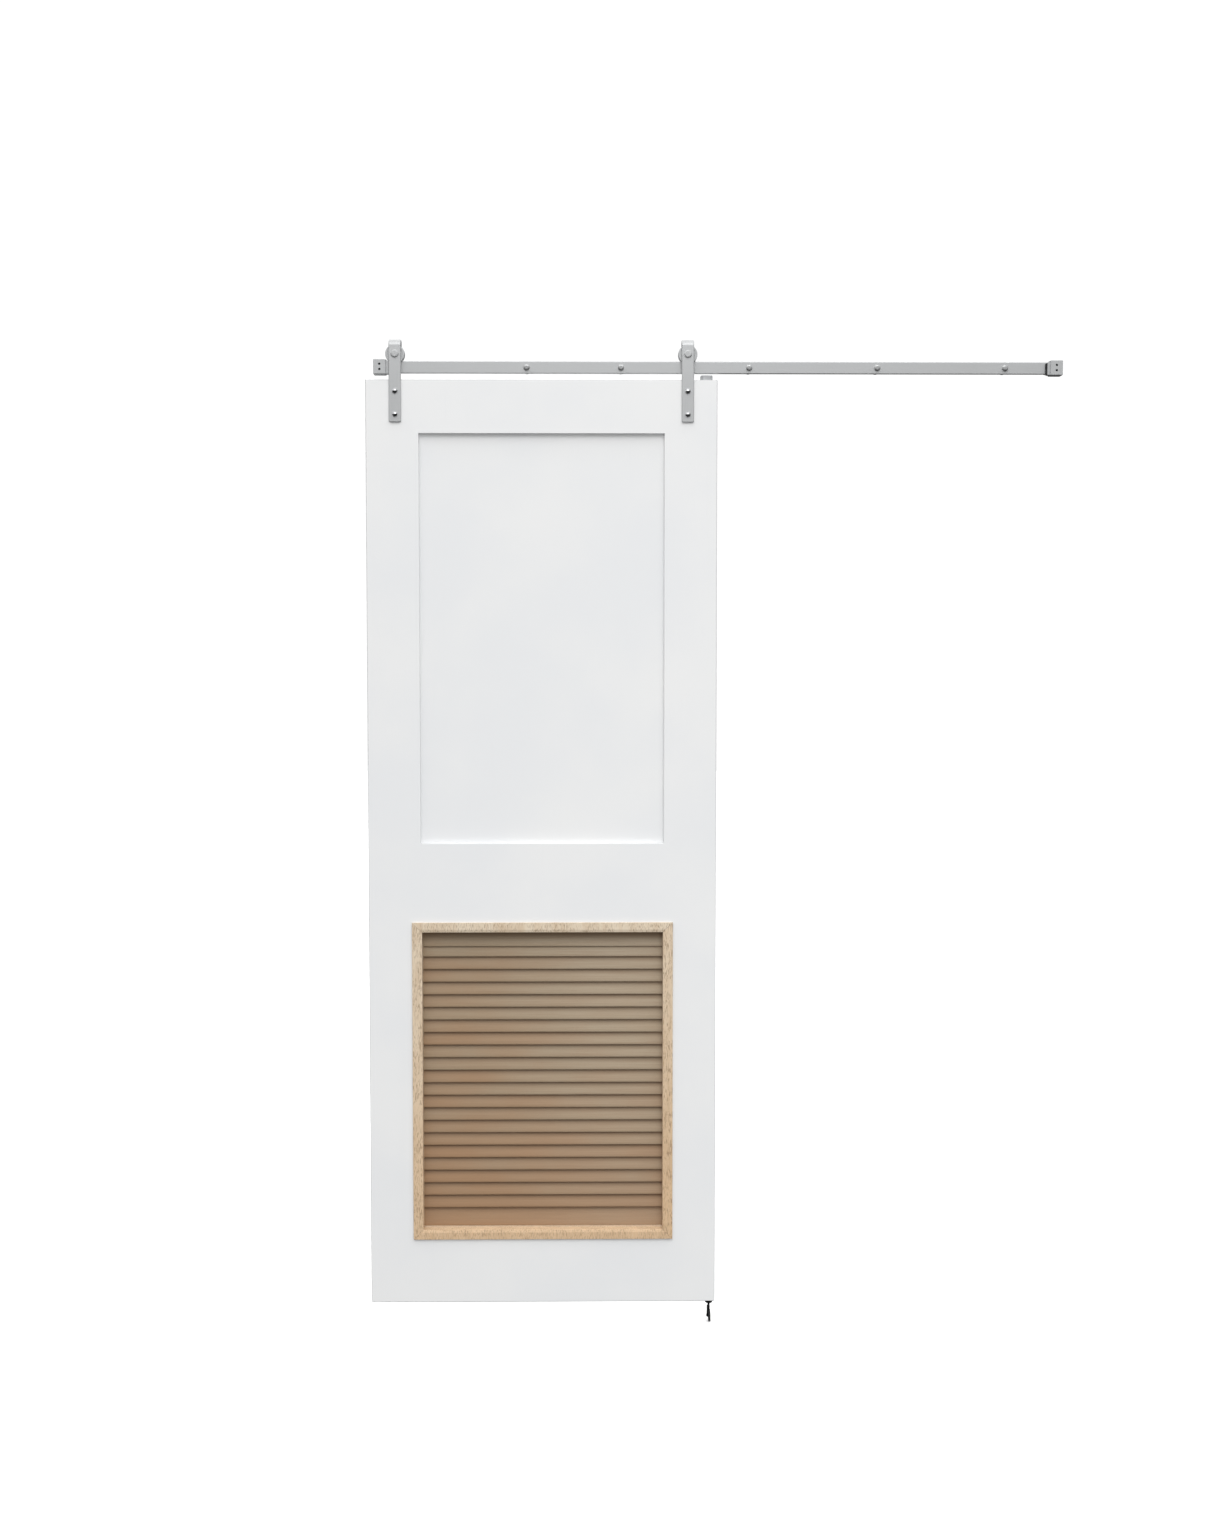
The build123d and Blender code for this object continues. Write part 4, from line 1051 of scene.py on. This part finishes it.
# ---- stage ----
def soft_box(name, place, aim, size, power):
    """Rectangular area light of that size, turned to face aim."""
    lamp = bpy.data.lights.new(name, "AREA")
    lamp.shape = "RECTANGLE"
    lamp.size, lamp.size_y = size
    lamp.energy = power
    light = bpy.data.objects.new(name, lamp)
    light.location = place
    light.rotation_euler = (Vector(aim) - Vector(place)).to_track_quat("-Z", "Y").to_euler()
    bpy.context.scene.collection.objects.link(light)
    return light


def studio_world():
    """White seen by the camera; soft light from above for the object, fading to dark below the horizon
    in polished metal."""
    world = bpy.data.worlds.new("studio_world")
    world.use_nodes = True
    f = Tree(world.node_tree)
    way = f.parts(f.node("ShaderNodeTexCoord")["Generated"])
    height, side = way["Z"], way["X"]
    shade = 1.0 - side * side * 0.55
    ray = f.node("ShaderNodeLightPath")
    soft = (height.between(-0.1, 0.1) * 0.4 + height.between(0.0, 1.0) * 2.2 + 0.26) * shade
    mirror = (height.between(0.0, 0.4) * 0.85 + 0.03) * (1.0 - side.between(0.55, 1.0) * 0.8)
    lit = ray["Is Glossy Ray"] * mirror + (1.0 - ray["Is Glossy Ray"]) * soft
    seen = ray["Is Camera Ray"]
    strength = seen * 1.05 + (1.0 - seen) * lit
    shader = f.node("ShaderNodeBackground", None, {"Color": (1.0, 1.0, 1.0, 1.0), "Strength": strength})
    f.node("ShaderNodeOutputWorld", None, {"Surface": shader["Background"]})
    return world


class BARNDOOR_OT_stage(bpy.types.Operator):
    """Lay the floor, hang the soft lights and set the camera"""

    bl_idname = "barndoor.stage"
    bl_label = "Stage"

    def execute(self, context):
        stage = context.scene.barn_door_stage
        half, level = stage.floor_size, cad_box[0][2]
        cells = 8
        line = np.linspace(-half, half, cells + 1)
        x, y = np.meshgrid(line, line, indexing="ij")
        points = np.stack([x, y, np.full_like(x, level)], -1).reshape(-1, 3)
        i, j = np.meshgrid(np.arange(cells), np.arange(cells), indexing="ij")
        first = (i * (cells + 1) + j).ravel()
        faces = np.stack([first, first + cells + 1, first + cells + 2, first + 1], -1)
        mesh = bpy.data.meshes.new("studio_floor")
        mesh.from_pydata(points.tolist(), [], faces.tolist())
        mesh.materials.append(finish(studio_floor))
        floor = bpy.data.objects.new("studio_floor", mesh)
        floor.visible_glossy = False
        floor.visible_diffuse = False
        context.scene.collection.objects.link(floor)
        middle = (door_low + door_high) / 2
        # The key light hangs over the rail's middle; the fill light lifts the door's lower half.
        over_rail = middle[0] + 0.4
        soft_box("key_light", (over_rail, -3.6, 2.5), (over_rail, 0, -1.4), (3.6, 2.0), 53.0)
        fill_place = (middle[0] + 0.9, -4.2, -1.9)
        fill = soft_box("fill_light", fill_place, (middle[0], 0, -2.0), (2.6, 1.4), 36.0)
        fill.visible_glossy = False
        context.scene.world = studio_world()
        lens = bpy.data.cameras.new("studio_camera")
        lens.lens = stage.lens
        lens.clip_end = 200.0
        camera = bpy.data.objects.new("studio_camera", lens)
        camera.location = (middle[0] + stage.camera_x, door_low[1] - stage.camera_y,
                           door_low[2] + stage.camera_z)
        camera.rotation_euler = (math.pi / 2 - stage.pitch, 0.0, -stage.yaw)
        context.scene.collection.objects.link(camera)
        context.scene.camera = camera
        context.scene.view_settings.view_transform = "Standard"
        return {"FINISHED"}


class BARNDOOR_PT_panel(bpy.types.Panel):
    """Lists the pieces in the order they are made"""

    bl_idname = "BARNDOOR_PT_panel"
    bl_label = "Barn Door"
    bl_space_type = "VIEW_3D"
    bl_region_type = "UI"
    bl_category = "Barn Door"

    def draw(self, context):
        for operator in operators:
            self.layout.operator(operator.bl_idname)
        for group in groups:
            settings = getattr(context.scene, group)
            box = self.layout.box()
            for name in settings.bl_rna.properties.keys():
                if name not in ("rna_type", "name"):
                    box.prop(settings, name)


operators = (
    BARNDOOR_OT_rail,
    BARNDOOR_OT_wall_fixings,
    BARNDOOR_OT_straps,
    BARNDOOR_OT_wheels,
    BARNDOOR_OT_axles,
    BARNDOOR_OT_strap_bolts,
    BARNDOOR_OT_slab,
    BARNDOOR_OT_louvre_frame,
    BARNDOOR_OT_slats,
    BARNDOOR_OT_anti_jump,
    BARNDOOR_OT_roller,
    BARNDOOR_OT_stage,
)
groups = {
    "barn_door_rail": BarnDoorRailSizes,
    "barn_door_hangers": BarnDoorHangerSizes,
    "barn_door_louvre": BarnDoorLouvreSizes,
    "barn_door_colours": BarnDoorColours,
    "barn_door_stage": BarnDoorStage,
}


def register():
    for item in (*groups.values(), *operators, BARNDOOR_PT_panel):
        bpy.utils.register_class(item)
    for name, group in groups.items():
        setattr(bpy.types.Scene, name, PointerProperty(type=group))


def unregister():
    for name in groups:
        delattr(bpy.types.Scene, name)
    for item in (BARNDOOR_PT_panel, *reversed(operators), *groups.values()):
        bpy.utils.unregister_class(item)


def main():
    """Register the add-on, then make every piece in order."""
    register()
    bpy.ops.barndoor.rail()
    bpy.ops.barndoor.wall_fixings()
    bpy.ops.barndoor.straps()
    bpy.ops.barndoor.wheels()
    bpy.ops.barndoor.axles()
    bpy.ops.barndoor.strap_bolts()
    bpy.ops.barndoor.slab()
    bpy.ops.barndoor.louvre_frame()
    bpy.ops.barndoor.slats()
    bpy.ops.barndoor.anti_jump()
    bpy.ops.barndoor.roller()
    bpy.ops.barndoor.stage()


if __name__ == "__main__":
    main()
